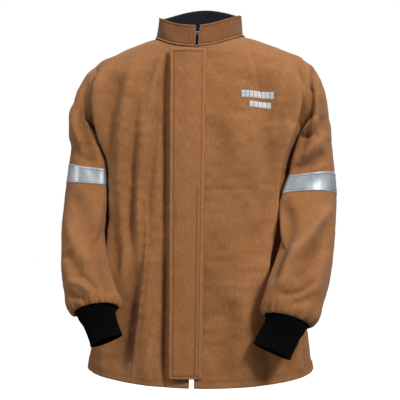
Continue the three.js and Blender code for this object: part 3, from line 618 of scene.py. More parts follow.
def cut_armhole(bm):
    """Opens the armhole in a panel, with its edge on the ellipse."""
    points = np.array([v.co for v in bm.verts])
    gap = armhole_gap(points)
    for vert, distance in zip(bm.verts, gap):
        if abs(distance) < 3.2:
            centre = Vector((vert.co.x, 0, (ARMHOLE_MIDDLE - SIDE_NECK) * MM))
            way = (vert.co - centre).normalized()
            vert.co -= way * distance * MM
    middles = np.array([f.calc_center_median() for f in bm.faces])
    inside = armhole_gap(middles) < -0.4
    doomed = [face for face, gone in zip(bm.faces, inside) if gone]
    bmesh.ops.delete(bm, geom=doomed, context="FACES")


def thicken(piece, thickness, inward=True, rim=True):
    """Gives a sheet its thickness, on its inner side."""
    solid = piece.modifiers.new("thickness", "SOLIDIFY")
    solid.thickness = thickness * MM
    solid.offset = -1 if inward else 1
    solid.use_even_offset = False
    solid.use_rim = rim
    return piece


def finish_piece(piece, body, material, slot, *nodes):
    """Dresses a piece, attaches it to the body it rides on and hides the CAD nodes it stands for."""
    piece.data.materials.append(material)
    if body:
        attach(piece, body)
    if nodes:
        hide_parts(*nodes)
    return piece


# ---- material groups ----
class Board:
    """A node tree with short calls for adding nodes."""

    def __init__(self, tree):
        self.tree = tree

    def add(self, kind, values=None, **settings):
        node = self.tree.nodes.new(kind)
        for key, value in settings.items():
            setattr(node, key, value)
        for key, value in (values or {}).items():
            socket = node.inputs[key]
            if isinstance(value, bpy.types.NodeSocket):
                self.tree.links.new(value, socket)
            else:
                socket.default_value = value
        return node

    def math(self, operation, a, b=0.0, c=0.0):
        return self.add("ShaderNodeMath", {0: a, 1: b, 2: c}, operation=operation).outputs[0]

    def mix(self, share, a, b, blend="MIX"):
        node = self.add("ShaderNodeMix", data_type="RGBA", blend_type=blend)
        for socket, value in ((node.inputs[0], share), (node.inputs[6], a), (node.inputs[7], b)):
            if isinstance(value, bpy.types.NodeSocket):
                self.tree.links.new(value, socket)
            else:
                socket.default_value = value
        return node.outputs[2]

    def scaled(self, vector, scale):
        return self.add("ShaderNodeMapping", {"Vector": vector, "Scale": scale}).outputs[0]

    def noise(self, vector, scale, detail=2.0, rough=0.5):
        values = {"Vector": vector, "Scale": scale, "Detail": detail, "Roughness": rough}
        return self.add("ShaderNodeTexNoise", values).outputs[0]

    def spread(self, value, low, high, to_low=0.0, to_high=1.0):
        values = {"Value": value, "From Min": low, "From Max": high, "To Min": to_low, "To Max": to_high}
        return self.add("ShaderNodeMapRange", values).outputs[0]


def new_group(name, inputs, outputs):
    """A shader node group with named sockets. Each is (name, type, default)."""
    group = bpy.data.node_groups.new(name, "ShaderNodeTree")
    for label, kind, value in inputs:
        socket = group.interface.new_socket(label, in_out="INPUT", socket_type="NodeSocket" + kind)
        if value is not None:
            socket.default_value = value
    for label, kind in outputs:
        group.interface.new_socket(label, in_out="OUTPUT", socket_type="NodeSocket" + kind)
    board = Board(group)
    enter = group.nodes.new("NodeGroupInput")
    leave = group.nodes.new("NodeGroupOutput")
    return board, enter.outputs, leave.inputs


def woven_group():
    """Plain-woven duck: two sets of yarns, slubs in the warp, colour drift, painted shade in the fold valleys
    and along the stitching, and paler raised folds and edges.
    """
    board, given, made = new_group(
        "woven_duck",
        [
            ("Vector", "Vector", None),
            ("Colour", "Color", (0.3, 0.13, 0.05, 1)),
            ("Deep Colour", "Color", (0.15, 0.06, 0.02, 1)),
            ("Pale Colour", "Color", (0.4, 0.2, 0.1, 1)),
            ("Yarns Per Metre", "Float", 700.0),
            ("Crease", "Float", 0.0),
            ("Border", "Float", 0.0),
            ("Seam", "Float", 0.0),
        ],
        [("Colour", "Color"), ("Height", "Float"), ("Roughness", "Float")],
    )
    yarns = board.math("MULTIPLY", given["Yarns Per Metre"], 6.2832)
    split = board.add("ShaderNodeSeparateXYZ", {0: given["Vector"]})
    warp = board.math("SINE", board.math("MULTIPLY", split.outputs[0], yarns))
    weft = board.math("SINE", board.math("MULTIPLY", split.outputs[1], yarns))
    weave = board.math("MULTIPLY", warp, weft)
    slub = board.noise(board.scaled(given["Vector"], (900, 55, 1)), 1.0, 3.0, 0.6)
    cross_slub = board.noise(board.scaled(given["Vector"], (70, 800, 1)), 1.0, 2.0, 0.5)
    grain = board.noise(given["Vector"], 420.0, 3.0, 0.65)
    drift = board.noise(given["Vector"], 14.0, 3.0, 0.55)
    blotch = board.noise(given["Vector"], 55.0, 2.0, 0.5)
    tone = board.math(
        "ADD", board.spread(slub, 0.3, 0.7, -0.2, 0.2), board.spread(grain, 0.3, 0.7, -0.2, 0.2)
    )
    tone = board.math("ADD", tone, board.spread(cross_slub, 0.3, 0.7, -0.08, 0.08))
    tone = board.math("ADD", tone, board.spread(drift, 0.3, 0.7, -0.03, 0.03))
    tone = board.math("ADD", tone, board.spread(blotch, 0.3, 0.7, -0.015, 0.015))
    tone = board.math("ADD", tone, board.math("MULTIPLY", weave, 0.05))
    darker = board.mix(board.spread(tone, 0.0, -0.6), given["Colour"], given["Deep Colour"])
    lighter = board.mix(board.spread(tone, 0.0, 0.6, 0.0, 0.75), darker, given["Pale Colour"])
    # painted shade: the fold valleys (crease below 0) darken towards the deep colour
    valley = board.spread(given["Crease"], 0.0, -1.5, 0.0, 0.42)
    shaded = board.mix(valley, lighter, given["Deep Colour"])
    # lighter on raised folds, patchy with the grain, and worn lighter at the cut edges
    ridge = board.spread(given["Crease"], 0.15, 1.3, 0.0, 0.22)
    ridge = board.math("MULTIPLY", ridge, board.spread(grain, 0.3, 0.6))
    wear_and_crease_tone = board.math(
        "MAXIMUM",
        ridge,
        board.math("MULTIPLY", given["Border"], board.spread(grain, 0.35, 0.65, 0.0, 0.5)),
    )
    worked = board.mix(wear_and_crease_tone, shaded, given["Pale Colour"])
    # painted shade: the cloth darkens towards the deep colour along the stitching, standing in for the shade
    # in its grooves
    stitched = board.math("MULTIPLY", given["Seam"], 0.62)
    board.tree.links.new(board.mix(stitched, worked, given["Deep Colour"]), made["Colour"])
    height = board.math("MULTIPLY", weave, 0.35)
    height = board.math("ADD", height, board.math("MULTIPLY", slub, 0.9))
    height = board.math("ADD", height, board.math("MULTIPLY", grain, 0.7))
    board.tree.links.new(height, made["Height"])
    board.tree.links.new(board.spread(grain, 0.3, 0.7, 0.82, 0.97), made["Roughness"])
    return board.tree


def knit_group():
    """Fine ribbed knit: chains of small loops along each rib."""
    board, given, made = new_group(
        "rib_knit",
        [("Vector", "Vector", None), ("Loops Per Metre", "Float", 450.0)],
        [("Mask", "Float"), ("Height", "Float")],
    )
    rate = board.math("MULTIPLY", given["Loops Per Metre"], 6.2832)
    split = board.add("ShaderNodeSeparateXYZ", {0: given["Vector"]})
    lean = board.math("ABSOLUTE", board.math("SINE", board.math("MULTIPLY", split.outputs[0], rate)))
    down = board.math(
        "ADD", board.math("MULTIPLY", split.outputs[1], rate), board.math("MULTIPLY", lean, 1.6)
    )
    loops = board.math("SINE", down)
    fuzz = board.noise(given["Vector"], 900.0, 3.0, 0.7)
    board.tree.links.new(board.math("ADD", board.math("MULTIPLY", loops, 0.6), fuzz), made["Height"])
    lint = board.noise(given["Vector"], 160.0, 4.0, 0.6)
    board.tree.links.new(
        board.spread(board.math("ADD", lint, board.math("MULTIPLY", loops, 0.08)), 0.35, 0.75),
        made["Mask"],
    )
    return board.tree


def scuff_group():
    """Small scratches and dull patches on metal, tape or film."""
    board, given, made = new_group(
        "scuffs",
        [("Vector", "Vector", None), ("Scale", "Float", 200.0)],
        [("Mask", "Float"), ("Height", "Float")],
    )
    long_marks = board.noise(board.scaled(given["Vector"], (3, 0.4, 1)), given["Scale"], 4.0, 0.6)
    patches = board.noise(given["Vector"], board.math("MULTIPLY", given["Scale"], 0.2), 3.0, 0.6)
    mask = board.math("MULTIPLY", board.spread(long_marks, 0.4, 0.7), board.spread(patches, 0.3, 0.6))
    board.tree.links.new(mask, made["Mask"])
    board.tree.links.new(long_marks, made["Height"])
    return board.tree


WOVEN = woven_group()
KNIT = knit_group()
SCUFFS = scuff_group()


def start_material(name, **constants):
    """A material with a Principled shader, its fixed values on the shader's own sockets."""
    material = bpy.data.materials.new(name)
    material.use_nodes = True
    board = Board(material.node_tree)
    shader = material.node_tree.nodes["Principled BSDF"]
    for key, value in constants.items():
        shader.inputs[key.replace("_", " ")].default_value = value
    return material, board, shader


def bump(board, shader, height, strength, distance):
    node = board.add("ShaderNodeBump", {"Strength": strength, "Distance": distance, "Height": height})
    board.tree.links.new(node.outputs[0], shader.inputs["Normal"])


def surface_vector(board, own_uv=True):
    coordinates = board.add("ShaderNodeTexCoord")
    return coordinates.outputs["UV" if own_uv else "Object"]


def woven_material(name, colour, deep, pale, yarns, strength=0.5, sheen=0.12):
    material, board, shader = start_material(name, Sheen_Weight=sheen, Specular_IOR_Level=0.2)
    group = board.add("ShaderNodeGroup", node_tree=WOVEN)
    values = {
        "Vector": surface_vector(board),
        "Colour": colour,
        "Deep Colour": deep,
        "Pale Colour": pale,
        "Yarns Per Metre": yarns,
        "Crease": board.add("ShaderNodeAttribute", attribute_name="crease").outputs["Fac"],
        "Border": board.add("ShaderNodeAttribute", attribute_name="border").outputs["Fac"],
        "Seam": board.add("ShaderNodeAttribute", attribute_name="seam").outputs["Fac"],
    }
    for key, value in values.items():
        if isinstance(value, bpy.types.NodeSocket):
            board.tree.links.new(value, group.inputs[key])
        else:
            group.inputs[key].default_value = value
    board.tree.links.new(group.outputs["Colour"], shader.inputs["Base Color"])
    board.tree.links.new(group.outputs["Roughness"], shader.inputs["Roughness"])
    bump(board, shader, group.outputs["Height"], strength, 0.0006)
    return material


def knit_material():
    material, board, shader = start_material("black_rib_knit", Roughness=0.95, Specular_IOR_Level=0.06)
    shader.inputs["Sheen Weight"].default_value = 0.015
    group = board.add("ShaderNodeGroup", {"Vector": surface_vector(board)}, node_tree=KNIT)
    colour = board.mix(group.outputs["Mask"], (0.0007, 0.0007, 0.0009, 1), (0.0040, 0.0040, 0.0048, 1))
    board.tree.links.new(colour, shader.inputs["Base Color"])
    bump(board, shader, group.outputs["Height"], 0.6, 0.0008)
    return material


def metal_material(name, clean, dull, rough_low, rough_high):
    material, board, shader = start_material(name, Metallic=1.0)
    group = board.add("ShaderNodeGroup", {"Vector": surface_vector(board, False)}, node_tree=SCUFFS)
    group.inputs["Scale"].default_value = 400.0
    board.tree.links.new(board.mix(group.outputs["Mask"], clean, dull), shader.inputs["Base Color"])
    rough = board.spread(group.outputs["Mask"], 0.0, 1.0, rough_low, rough_high)
    board.tree.links.new(rough, shader.inputs["Roughness"])
    bump(board, shader, group.outputs["Height"], 0.15, 0.0002)
    return material


def reflective_material():
    """Silver tape of tiny beads, with scuffs, painted highlight streaks and painted shade in its fold
    valleys.
    """
    material, board, shader = start_material("reflective_silver", Metallic=0.55, Sheen_Weight=0.1)
    vector = surface_vector(board)
    group = board.add("ShaderNodeGroup", {"Vector": vector}, node_tree=SCUFFS)
    group.inputs["Scale"].default_value = 90.0
    beads = board.add("ShaderNodeTexVoronoi", {"Vector": vector, "Scale": 700.0}).outputs[0]
    # painted highlight: stretched noise gives the tape's colour bright and dark streaks across the band
    bands = board.noise(board.scaled(vector, (22, 5, 1)), 1.0, 2.0, 0.5)
    base = board.mix(board.spread(bands, 0.35, 0.65), (0.33, 0.36, 0.39, 1), (0.62, 0.65, 0.68, 1))
    wear_and_crease_tone = board.mix(board.math("MULTIPLY", group.outputs["Mask"], 0.5), base, (0.22, 0.23, 0.25, 1))
    # scuffs are real wear; the fold valleys below are darkened as painted shade
    crease = board.add("ShaderNodeAttribute", attribute_name="crease").outputs["Fac"]
    wear_and_crease_tone = board.mix(board.spread(crease, -0.05, -0.5, 0.0, 0.4), wear_and_crease_tone, (0.16, 0.17, 0.18, 1))
    board.tree.links.new(wear_and_crease_tone, shader.inputs["Base Color"])
    rough = board.spread(beads, 0.0, 0.6, 0.34, 0.5)
    board.tree.links.new(rough, shader.inputs["Roughness"])
    bump(board, shader, beads, 0.15, 0.0003)
    return material


def fuzz_material(name, dark, light, scale):
    """The hooks or loops of a fastening strip, or felted tape."""
    material, board, shader = start_material(name, Roughness=0.92, Specular_IOR_Level=0.2)
    vector = surface_vector(board)
    tufts = board.add("ShaderNodeTexVoronoi", {"Vector": vector, "Scale": scale}).outputs[0]
    drift = board.noise(vector, 80.0, 3.0, 0.6)
    mask = board.math("MULTIPLY", board.spread(tufts, 0.0, 0.6), board.spread(drift, 0.3, 0.7, 0.5, 1.0))
    board.tree.links.new(board.mix(mask, light, dark), shader.inputs["Base Color"])
    bump(board, shader, tufts, 0.7, 0.0008)
    return material


def film_material():
    """The pale printed film on the chest, slightly cracked."""
    material, board, shader = start_material("chest_film", Specular_IOR_Level=0.4)
    vector = surface_vector(board)
    cracks = board.add("ShaderNodeTexVoronoi", {"Vector": vector, "Scale": 260.0}, feature="DISTANCE_TO_EDGE")
    split = board.spread(cracks.outputs[0], 0.0, 0.05)
    drift = board.noise(vector, 120.0, 3.0, 0.6)
    base = board.mix(board.spread(drift, 0.35, 0.65), (0.44, 0.48, 0.50, 1), (0.60, 0.65, 0.67, 1))
    colour = board.mix(board.spread(split, 0.0, 1.0, 0.4, 0.0), base, (0.24, 0.17, 0.11, 1))
    board.tree.links.new(colour, shader.inputs["Base Color"])
    board.tree.links.new(board.spread(drift, 0.3, 0.7, 0.5, 0.7), shader.inputs["Roughness"])
    bump(board, shader, split, 0.3, 0.0002)
    return material


TAN = (0.316, 0.131, 0.043, 1)
# TAN_DEEP is also the colour of the painted shade in the fold valleys and along the stitching
TAN_DEEP = (0.115, 0.043, 0.014, 1)
TAN_PALE = (0.520, 0.270, 0.130, 1)
tan_duck = woven_material("tan_duck", TAN, TAN_DEEP, TAN_PALE, 620.0)
flap_duck = woven_material("flap_duck", (0.312, 0.129, 0.043, 1), TAN_DEEP, TAN_PALE, 620.0)
collar_duck = woven_material(
    "collar_duck", (0.200, 0.080, 0.027, 1), TAN_DEEP, (0.42, 0.215, 0.105, 1), 620.0
)
liner_duck = woven_material(
    "dark_liner", (0.0060, 0.0072, 0.0115, 1), (0.002, 0.0024, 0.004, 1), (0.016, 0.019, 0.028, 1),
    900.0, 0.35
)
tape_black = woven_material(
    "black_zip_tape", (0.006, 0.006, 0.008, 1), (0.002, 0.002, 0.003, 1), (0.018, 0.018, 0.022, 1),
    1000.0, 0.4
)
label_cloth = woven_material(
    "pale_label", (0.62, 0.60, 0.56, 1), (0.40, 0.38, 0.34, 1), (0.78, 0.77, 0.74, 1), 1400.0, 0.2
)
black_knit = knit_material()
brass = metal_material("brass", (0.62, 0.43, 0.17, 1), (0.30, 0.19, 0.07, 1), 0.28, 0.5)
silver_tape = reflective_material()
hook_fuzz = fuzz_material("hook_strip_black", (0.003, 0.003, 0.004, 1), (0.020, 0.020, 0.024, 1), 900.0)
loop_fuzz = fuzz_material("loop_strip_black", (0.004, 0.004, 0.005, 1), (0.030, 0.030, 0.034, 1), 500.0)
chest_film = film_material()
tan_thread = woven_material(
    "tan_thread", (0.200, 0.085, 0.034, 1), (0.10, 0.04, 0.015, 1), (0.36, 0.18, 0.09, 1), 1500.0, 0.2
)
black_thread = woven_material(
    "black_thread", (0.010, 0.010, 0.012, 1), (0.004, 0.004, 0.005, 1), (0.03, 0.03, 0.035, 1), 1500.0, 0.2
)


# ---- body panels and their linings ----
def closure_turn(distance, level):
    """The turn at a distance from the closure's middle line, below 0 towards the wearer's right."""
    return turn_at(np.full_like(level, CLOSURE_X + distance), level)


def side_levels(low, high, rows):
    lines = [lambda fine, t=turn: body_point(np.full_like(fine, t), fine) for turn in (0.0, 0.8, QUARTER)]
    return even_levels(lines, low, high, rows + 1)


def body_sheet(name, edge_a, edge_b, low, high, columns, rows, depth=0.0, hole=True, flip=False, ease=0.0):
    """A panel between two edges, each a function of level, at a depth below the outer surface."""
    levels = side_levels(low, high, rows)

    def surface(across, along):
        level = np.interp(along, np.linspace(0, 1, rows + 1), levels)
        a = edge_a(level)
        b = edge_b(level)
        return body_point(a + (b - a) * across, level)

    def shift(points, normals, across, along):
        moved = cloth_shift(points, normals)
        if depth:
            moved = np.where(moved < 0, 1.15 * moved, 0.7 * moved) - (depth + ease) * MM
        return moved

    middle = surface(np.array([0.0, 0.5, 1.0]), np.array([0.4, 0.4, 0.4]))
    width = np.linalg.norm(np.diff(middle, axis=0), axis=1).sum()
    def seams(points, across, along):
        height = points[:, 2] / MM + SIDE_NECK
        hem = 0.7 * np.exp(-(((height - hem_height(points) - 18) / 2.4) ** 2))
        place = np.stack((points[:, 0] / MM, height), 1)
        side_seam, _, share = line_distance(place, smooth_line(SIDE_SEAM))
        return np.maximum(hem, 0.5 * (points[:, 1] < 0) * np.exp(-((side_seam / 2.2) ** 2)) * (share < 0.99))

    width = float(width)
    return cloth_piece(name, columns, rows, surface, (width, 0.86), shift, flip=flip, hole=hole, seams=seams)


def at_side(side):
    return lambda level: np.full_like(level, side * QUARTER)


def at_closure(side, distance):
    return lambda level: closure_turn(side * distance, level)


back_panel = body_sheet(
    "back_panel_cloth", at_side(1), lambda level: np.full_like(level, 3 * QUARTER), 0, TOP_RING, 168, 216
)
thicken(back_panel, CLOTH)
finish_piece(back_panel, "root", tan_duck, "tan_cloth", "back_panel")
back_liner = body_sheet(
    "back_liner_cloth", at_side(1), lambda level: np.full_like(level, 3 * QUARTER), 1.1, TOP_RING - 0.5,
    110, 130,
    LINER_DEPTH, ease=1.5,
)
thicken(back_liner, 1.2)
finish_piece(back_liner, "root", liner_duck, "liner_cloth", "back_liner")
back_hem = body_sheet(
    "back_hem_facing_cloth", at_side(1), lambda level: np.full_like(level, 3 * QUARTER), 0.03, 1.12, 130, 12,
    3.6, hole=False,
)
thicken(back_hem, 1.2)
finish_piece(back_hem, "root", tan_duck, "tan_cloth", "back_hem_facing")

front_panels = {}
for name, side in SIDES:
    edge_in = at_closure(side, 6)
    edge_out = at_side(side)
    turned = side < 0
    panel = body_sheet(name + "_front_cloth", edge_in, edge_out, 0, TOP_RING, 100, 212, flip=turned)
    thicken(panel, CLOTH)
    front_panels[side] = finish_piece(panel, "root", tan_duck, "tan_cloth", name + "_front_panel")
    lining = body_sheet(
        name + "_front_liner_cloth", at_closure(side, 56), edge_out, 1.1, TOP_RING - 0.5,
        66, 130, LINER_DEPTH,
        flip=turned, ease=1.5,
    )
    thicken(lining, 1.2)
    finish_piece(lining, "root", liner_duck, "liner_cloth", name + "_front_liner")
    facing = body_sheet(
        name + "_front_facing_cloth", at_closure(side, 6.2), at_closure(side, 55), 0.04, TOP_RING - 0.5,
        14, 200, 4.6,
        hole=False, flip=turned,
    )
    thicken(facing, 1.2)
    finish_piece(facing, "root", tan_duck, "tan_cloth", name + "_front_facing")
    hem = body_sheet(
        name + "_hem_facing_cloth", at_closure(side, 56), edge_out, 0.03, 1.12,
        66, 12, 3.6, hole=False, flip=turned,
    )
    thicken(hem, 1.2)
    finish_piece(hem, "root", tan_duck, "tan_cloth", name + "_hem_facing")


# ---- sleeves, bands and cuffs ----
def sleeve_levels(low, high, rows):
    lines = [
        lambda fine, t=turn: sleeve_point(1, np.full_like(fine, t), fine)
        for turn in (0.0, QUARTER, 2 * QUARTER)
    ]
    return even_levels(lines, low, high, rows + 1)


def sleeve_sheet(name, side, low, high, columns, rows, lift=0.0, squeeze=1.0):
    """A tube of cloth round the arm between two levels, lifted above the sleeve's own surface."""
    levels = sleeve_levels(low, high, rows)
    way = side

    def at(across, along):
        return way * 4 * QUARTER * across, np.interp(along, np.linspace(0, 1, rows + 1), levels)

    def surface(across, along):
        turn, level = at(across, along)
        return sleeve_point(side, turn, level)

    def shift(points, normals, across, along):
        turn, level = at(across, along)
        moved = sleeve_shift(side, points, normals, level, turn)
        return np.where(moved < 0, moved * squeeze, moved / squeeze) + lift * MM

    run = np.linalg.norm(np.diff(surface(np.zeros(40), np.linspace(0, 1, 40)), axis=0), axis=1).sum()
    return cloth_piece(
        name, columns, rows, surface, (0.46, float(run)), shift, ring=True, flip=way_flip(surface)
    )


def way_flip(surface):
    """Whether a tube's faces would point inwards: its lattice normal against the way out from its middle."""
    round_points = surface(np.linspace(0, 1, 17)[:-1], np.full(16, 0.5))
    ahead = surface(np.array([0.0]), np.array([0.52]))[0]
    centre = round_points.mean(0)
    across = round_points[1] - round_points[0]
    normal = np.cross(across, ahead - round_points[0])
    return bool(normal @ (round_points[0] - centre) < 0)


CUFF_LINE = np.array((-0.47, -0.455, -1.0)) / np.linalg.norm((-0.47, -0.455, -1.0))
CUFF_ACROSS = np.array((1.0, 0, 0)) - CUFF_LINE * CUFF_LINE[0]
CUFF_ACROSS /= np.linalg.norm(CUFF_ACROSS)
CUFF_FORWARD = np.cross(CUFF_ACROSS, CUFF_LINE)
CUFF_MIDDLE = np.array((225.0, -170.0, 170.0))
CUFF_RIBS = 84


def cuff_sheet(name, side, inset=0.0, columns=CUFF_RIBS * 4, rows=34):
    """A ribbed knit tube that carries on from the sleeve's end and narrows."""

    def surface(across, along):
        turn = side * 4 * QUARTER * across
        base = CUFF_MIDDLE + CUFF_LINE * (-12 + 91 * along)[:, None]
        half = np.interp(along, [0, 0.13, 0.24, 0.42, 0.9, 1], [47, 47.5, 46.5, 42, 40.5, 41.5]) - inset
        half = half + 0.8 * np.sin(2 * turn + 1.3) + 0.9 * np.sin(3 * turn + 5 * along)
        rib = 0.55 * np.cos(CUFF_RIBS * turn) * smooth_step(0, 0.05, along) * smooth_step(1.0, 0.985, along)
        half = half + rib * (0 if inset else 1)
        crush = 1 - 0.06 * np.sin(3.0 * along) * (1 if side < 0 else 0)
        flatter = 1 - 0.55 * smooth_step(0.1, 0.95, along)
        wider = 1 + 0.10 * smooth_step(0.1, 0.95, along) * (1 if side > 0 else -0.4)
        point = base + CUFF_ACROSS * (half * crush * wider * np.cos(turn))[:, None]
        point = point + CUFF_FORWARD * (half * flatter * np.sin(turn))[:, None]
        point[:, 2] -= side * 8 + SIDE_NECK
        point[:, 0] *= side
        return point * MM

    return cloth_piece(name, columns, rows, surface, (0.28, 0.091), None, ring=True, flip=way_flip(surface))


def armhole_join(name, side, columns=132, rows=8):
    """The cloth that turns from the body into the sleeve, round the armhole."""

    def surface(across, along):
        turn = side * 4 * QUARTER * across
        depth = -ARMHOLE_HALF_DEPTH * 1.03 * np.sin(turn)
        height = ARMHOLE_MIDDLE + ARMHOLE_HALF_HEIGHT * 1.03 * np.cos(turn)
        body = body_edge(side, depth, height)
        sleeve = sleeve_point(side, turn, np.full_like(turn, 0.16))
        step = sleeve_point(side, turn, np.full_like(turn, 0.5)) - sleeve
        outer_way = np.stack((np.full_like(turn, side * 1.0), np.zeros_like(turn), np.zeros_like(turn)), 1)
        t = along[:, None]
        h00 = 2 * t**3 - 3 * t**2 + 1
        h10 = t**3 - 2 * t**2 + t
        h01 = -2 * t**3 + 3 * t**2
        h11 = t**3 - t**2
        point = h00 * body + h10 * outer_way * 0.010 + h01 * sleeve + h11 * step * 0.6
        return point

    return cloth_piece(name, columns, rows, surface, (0.49, 0.024), None, ring=True, flip=way_flip(surface))


def body_edge(side, depth, height):
    """Points of the body's side at a depth from the shoulder line and a height, folds included."""
    low = np.full_like(depth, 6.5)
    high = np.full_like(depth, 12.5)
    for _ in range(24):
        level = (low + high) / 2
        values = spline(RINGS, level)
        front_depth = 175 - 83 * values[:, 0] / FRONT_LENGTH
        reach = np.where(depth < 0, front_depth, values[:, 4])
        ratio = np.clip(np.abs(depth) / reach, 0, 0.999)
        x = values[:, 3] * (1 - ratio ** values[:, 5]) ** (1 / values[:, 5])
        turn = np.arctan2(side * x / values[:, 3], -depth / reach)
        point = body_point(turn, level)
        under = point[:, 2] / MM + SIDE_NECK < height
        low = np.where(under, level, low)
        high = np.where(under, high, level)
    around = body_point(turn + 0.01, level) - body_point(turn - 0.01, level)
    up = body_point(turn, level + 0.02) - body_point(turn, level - 0.02)
    normal = np.cross(around, up)
    normal /= np.linalg.norm(normal, axis=1, keepdims=True)
    return point + normal * (cloth_shift(point, normal) - 0.0006)[:, None]


for name, side in SIDES:
    body = name + "_sleeve"
    sleeve = sleeve_sheet(name + "_sleeve_cloth", side, 0.12, LAST_STATION, 124, 168)
    thicken(sleeve, CLOTH)
    panels = [f"{name}_{part}_sleeve_{face}" for part in ("upper", "lower") for face in ("front", "back")]
    finish_piece(sleeve, body, tan_duck, "tan_cloth", *panels)
    lining = sleeve_sheet(name + "_sleeve_liner_cloth", side, 0.2, LAST_STATION - 1, 80, 90, -6.2, 1.15)
    thicken(lining, 1.2)
    finish_piece(lining, body, liner_duck, "liner_cloth", name + "_sleeve_liner")
    band = sleeve_sheet(name + "_reflective_band_tape", side, *BANDS[side], 124, 16, 1.0)
    thicken(band, 0.9)
    finish_piece(band, body, silver_tape, "reflective_tape", name + "_reflective_band")
    cuff = cuff_sheet(name + "_knit_cuff_rib", side)
    thicken(cuff, 2.2)
    finish_piece(cuff, body, black_knit, "black_knit", name + "_knit_cuff")
    join = armhole_join(name + "_armhole_join", side)
    thicken(join, 1.5)
    finish_piece(join, None, tan_duck, "tan_cloth")
    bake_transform(join)


def line_mask(distance, width=1.5):
    return np.exp(-((distance / width) ** 2))


# ---- collar ----
COLLAR_HEIGHT = 54.0


def collar_point(across, along, inset):
    """across runs from the wearer's left end round the back to the right end, along from the seam upwards."""
    gap = 3 + 5 * along
    half = NECK_HALF_WIDTH - 6 * along - inset
    first = np.arcsin((CLOSURE_X + gap) / half)
    last = 4 * QUARTER + np.arcsin((CLOSURE_X - 3) / half)
    turn = first + (last - first) * across
    c = np.cos(turn)
    depth = np.where(c > 0, 92 - 9 * along, 70 - 2 * along) - inset
    seam = SIDE_NECK + (np.where(c > 0, FRONT_LENGTH, BACK_NECK) - SIDE_NECK) * c * c
    z = seam + 0.5 + (COLLAR_HEIGHT - 0.5) * along
    return np.stack((half * np.sin(turn), -depth * c, z - SIDE_NECK), 1) * MM, turn


def collar_shift(points, normals, across, along):
    """The collar's soft waves, the dip along its stitching and its rounded top edge."""
    wave = 1.4 * np.sin(19 * across + 1) * along + 1.0 * np.sin(43 * across + 4 * along)
    spot = np.stack((across * 640, along * 54), 1)
    wave = wave + 1.0 * lattice_noise(spot, 30, 31) + 0.3 * lattice_noise(spot, 10, 33)
    top_stitch = -0.9 * np.exp(-(((along * 54 - 48.5) / 1.6) ** 2))
    foot_stitch = -0.8 * np.exp(-(((along * 54 - 5.5) / 1.6) ** 2))
    ends = np.minimum(across, 1 - across) * 640
    end_stitch = -0.9 * np.exp(-(((ends - 5.5) / 1.8) ** 2))
    pad = 1.2 * np.exp(-(((along * 54 - 52) / 2.5) ** 2))
    ease = smooth_step(0, 0.12, along)
    return (wave * ease * 0.8 + top_stitch + foot_stitch + end_stitch + pad) * MM


def collar_seams(points, across, along):
    """Where the collar is stitched, from 0 to 1."""
    ends = np.minimum(across, 1 - across) * 640
    lines = line_mask(along * 54 - 48.5) * (ends > 4.5)
    lines = np.maximum(lines, 0.8 * line_mask(along * 54 - 7.1))
    return np.maximum(lines, line_mask(ends - 5.5) * (along * 54 < 49.5))


def collar_piece(name, inset, low, high, columns, rows, shift, seams=None):
    def surface(across, along):
        return collar_point(across, low + (high - low) * along, inset)[0]

    return cloth_piece(name, columns, rows, surface, (0.62, 0.054 * (high - low)), shift, seams=seams)


collar = collar_piece("collar_outer_cloth", 0, 0.0, 1.0, 280, 26, collar_shift, collar_seams)
thicken(collar, CLOTH)
finish_piece(collar, "root", collar_duck, "collar_cloth", "collar_outer")
collar_lining = collar_piece(
    "collar_lining_knit", 3.6, 0.0, 0.985, 200, 16, lambda p, n, a, b: collar_shift(p, n, a, b)
)
thicken(collar_lining, 1.8)
finish_piece(collar_lining, "root", liner_duck, "liner_cloth", "collar_lining")


def welt_surface(across, along):
    """A thin cord of cloth round the collar's foot."""
    turn = 4 * QUARTER * along
    low = 0.048 + 0.030 * np.sin(turn)
    point, _ = collar_point(across, low, -1.6 - 1.7 * np.cos(turn))
    return point


welt = cloth_piece("neck_seam_welt_cord", 260, 10, welt_surface, (0.62, 0.011), None, flip=False)
finish_piece(welt, "root", tan_duck, "tan_cloth", "neck_seam_welt")


# ---- storm flap ----
FLAP_SEWN = 24.0
FLAP_TOP = 810.0
FLAP_LOW = 22.0


def flap_width(height):
    return 70 + 11 * (height - FLAP_LOW) / (FLAP_TOP - FLAP_LOW)


def front_normal_point(x, height, lift):
    """A point of the coat's front at x and height, lifted clear of the cloth."""
    level = level_at(x, height)
    turn = turn_at(x, level)
    inside = np.clip(level, 0.02, TOP_RING - 0.02)
    around = body_point(turn + 0.01, inside) - body_point(turn - 0.01, inside)
    up = body_point(turn, inside + 0.01) - body_point(turn, inside - 0.01)
    normal = np.cross(around, up)
    normal /= np.linalg.norm(normal, axis=1, keepdims=True)
    return body_point(turn, level) + normal * (np.asarray(lift) * MM)[:, None]


def flap_surface(lift_sewn, lift_free, margin):
    def surface(across, along):
        height = FLAP_LOW + margin + (FLAP_TOP - FLAP_LOW - 2 * margin) * along
        x = FLAP_SEWN - margin * 0.5 - across * (flap_width(height) - margin)
        lift = lift_sewn + (lift_free - lift_sewn) * smooth_step(0, 0.55, across)
        return front_normal_point(x, height, lift)

    return surface


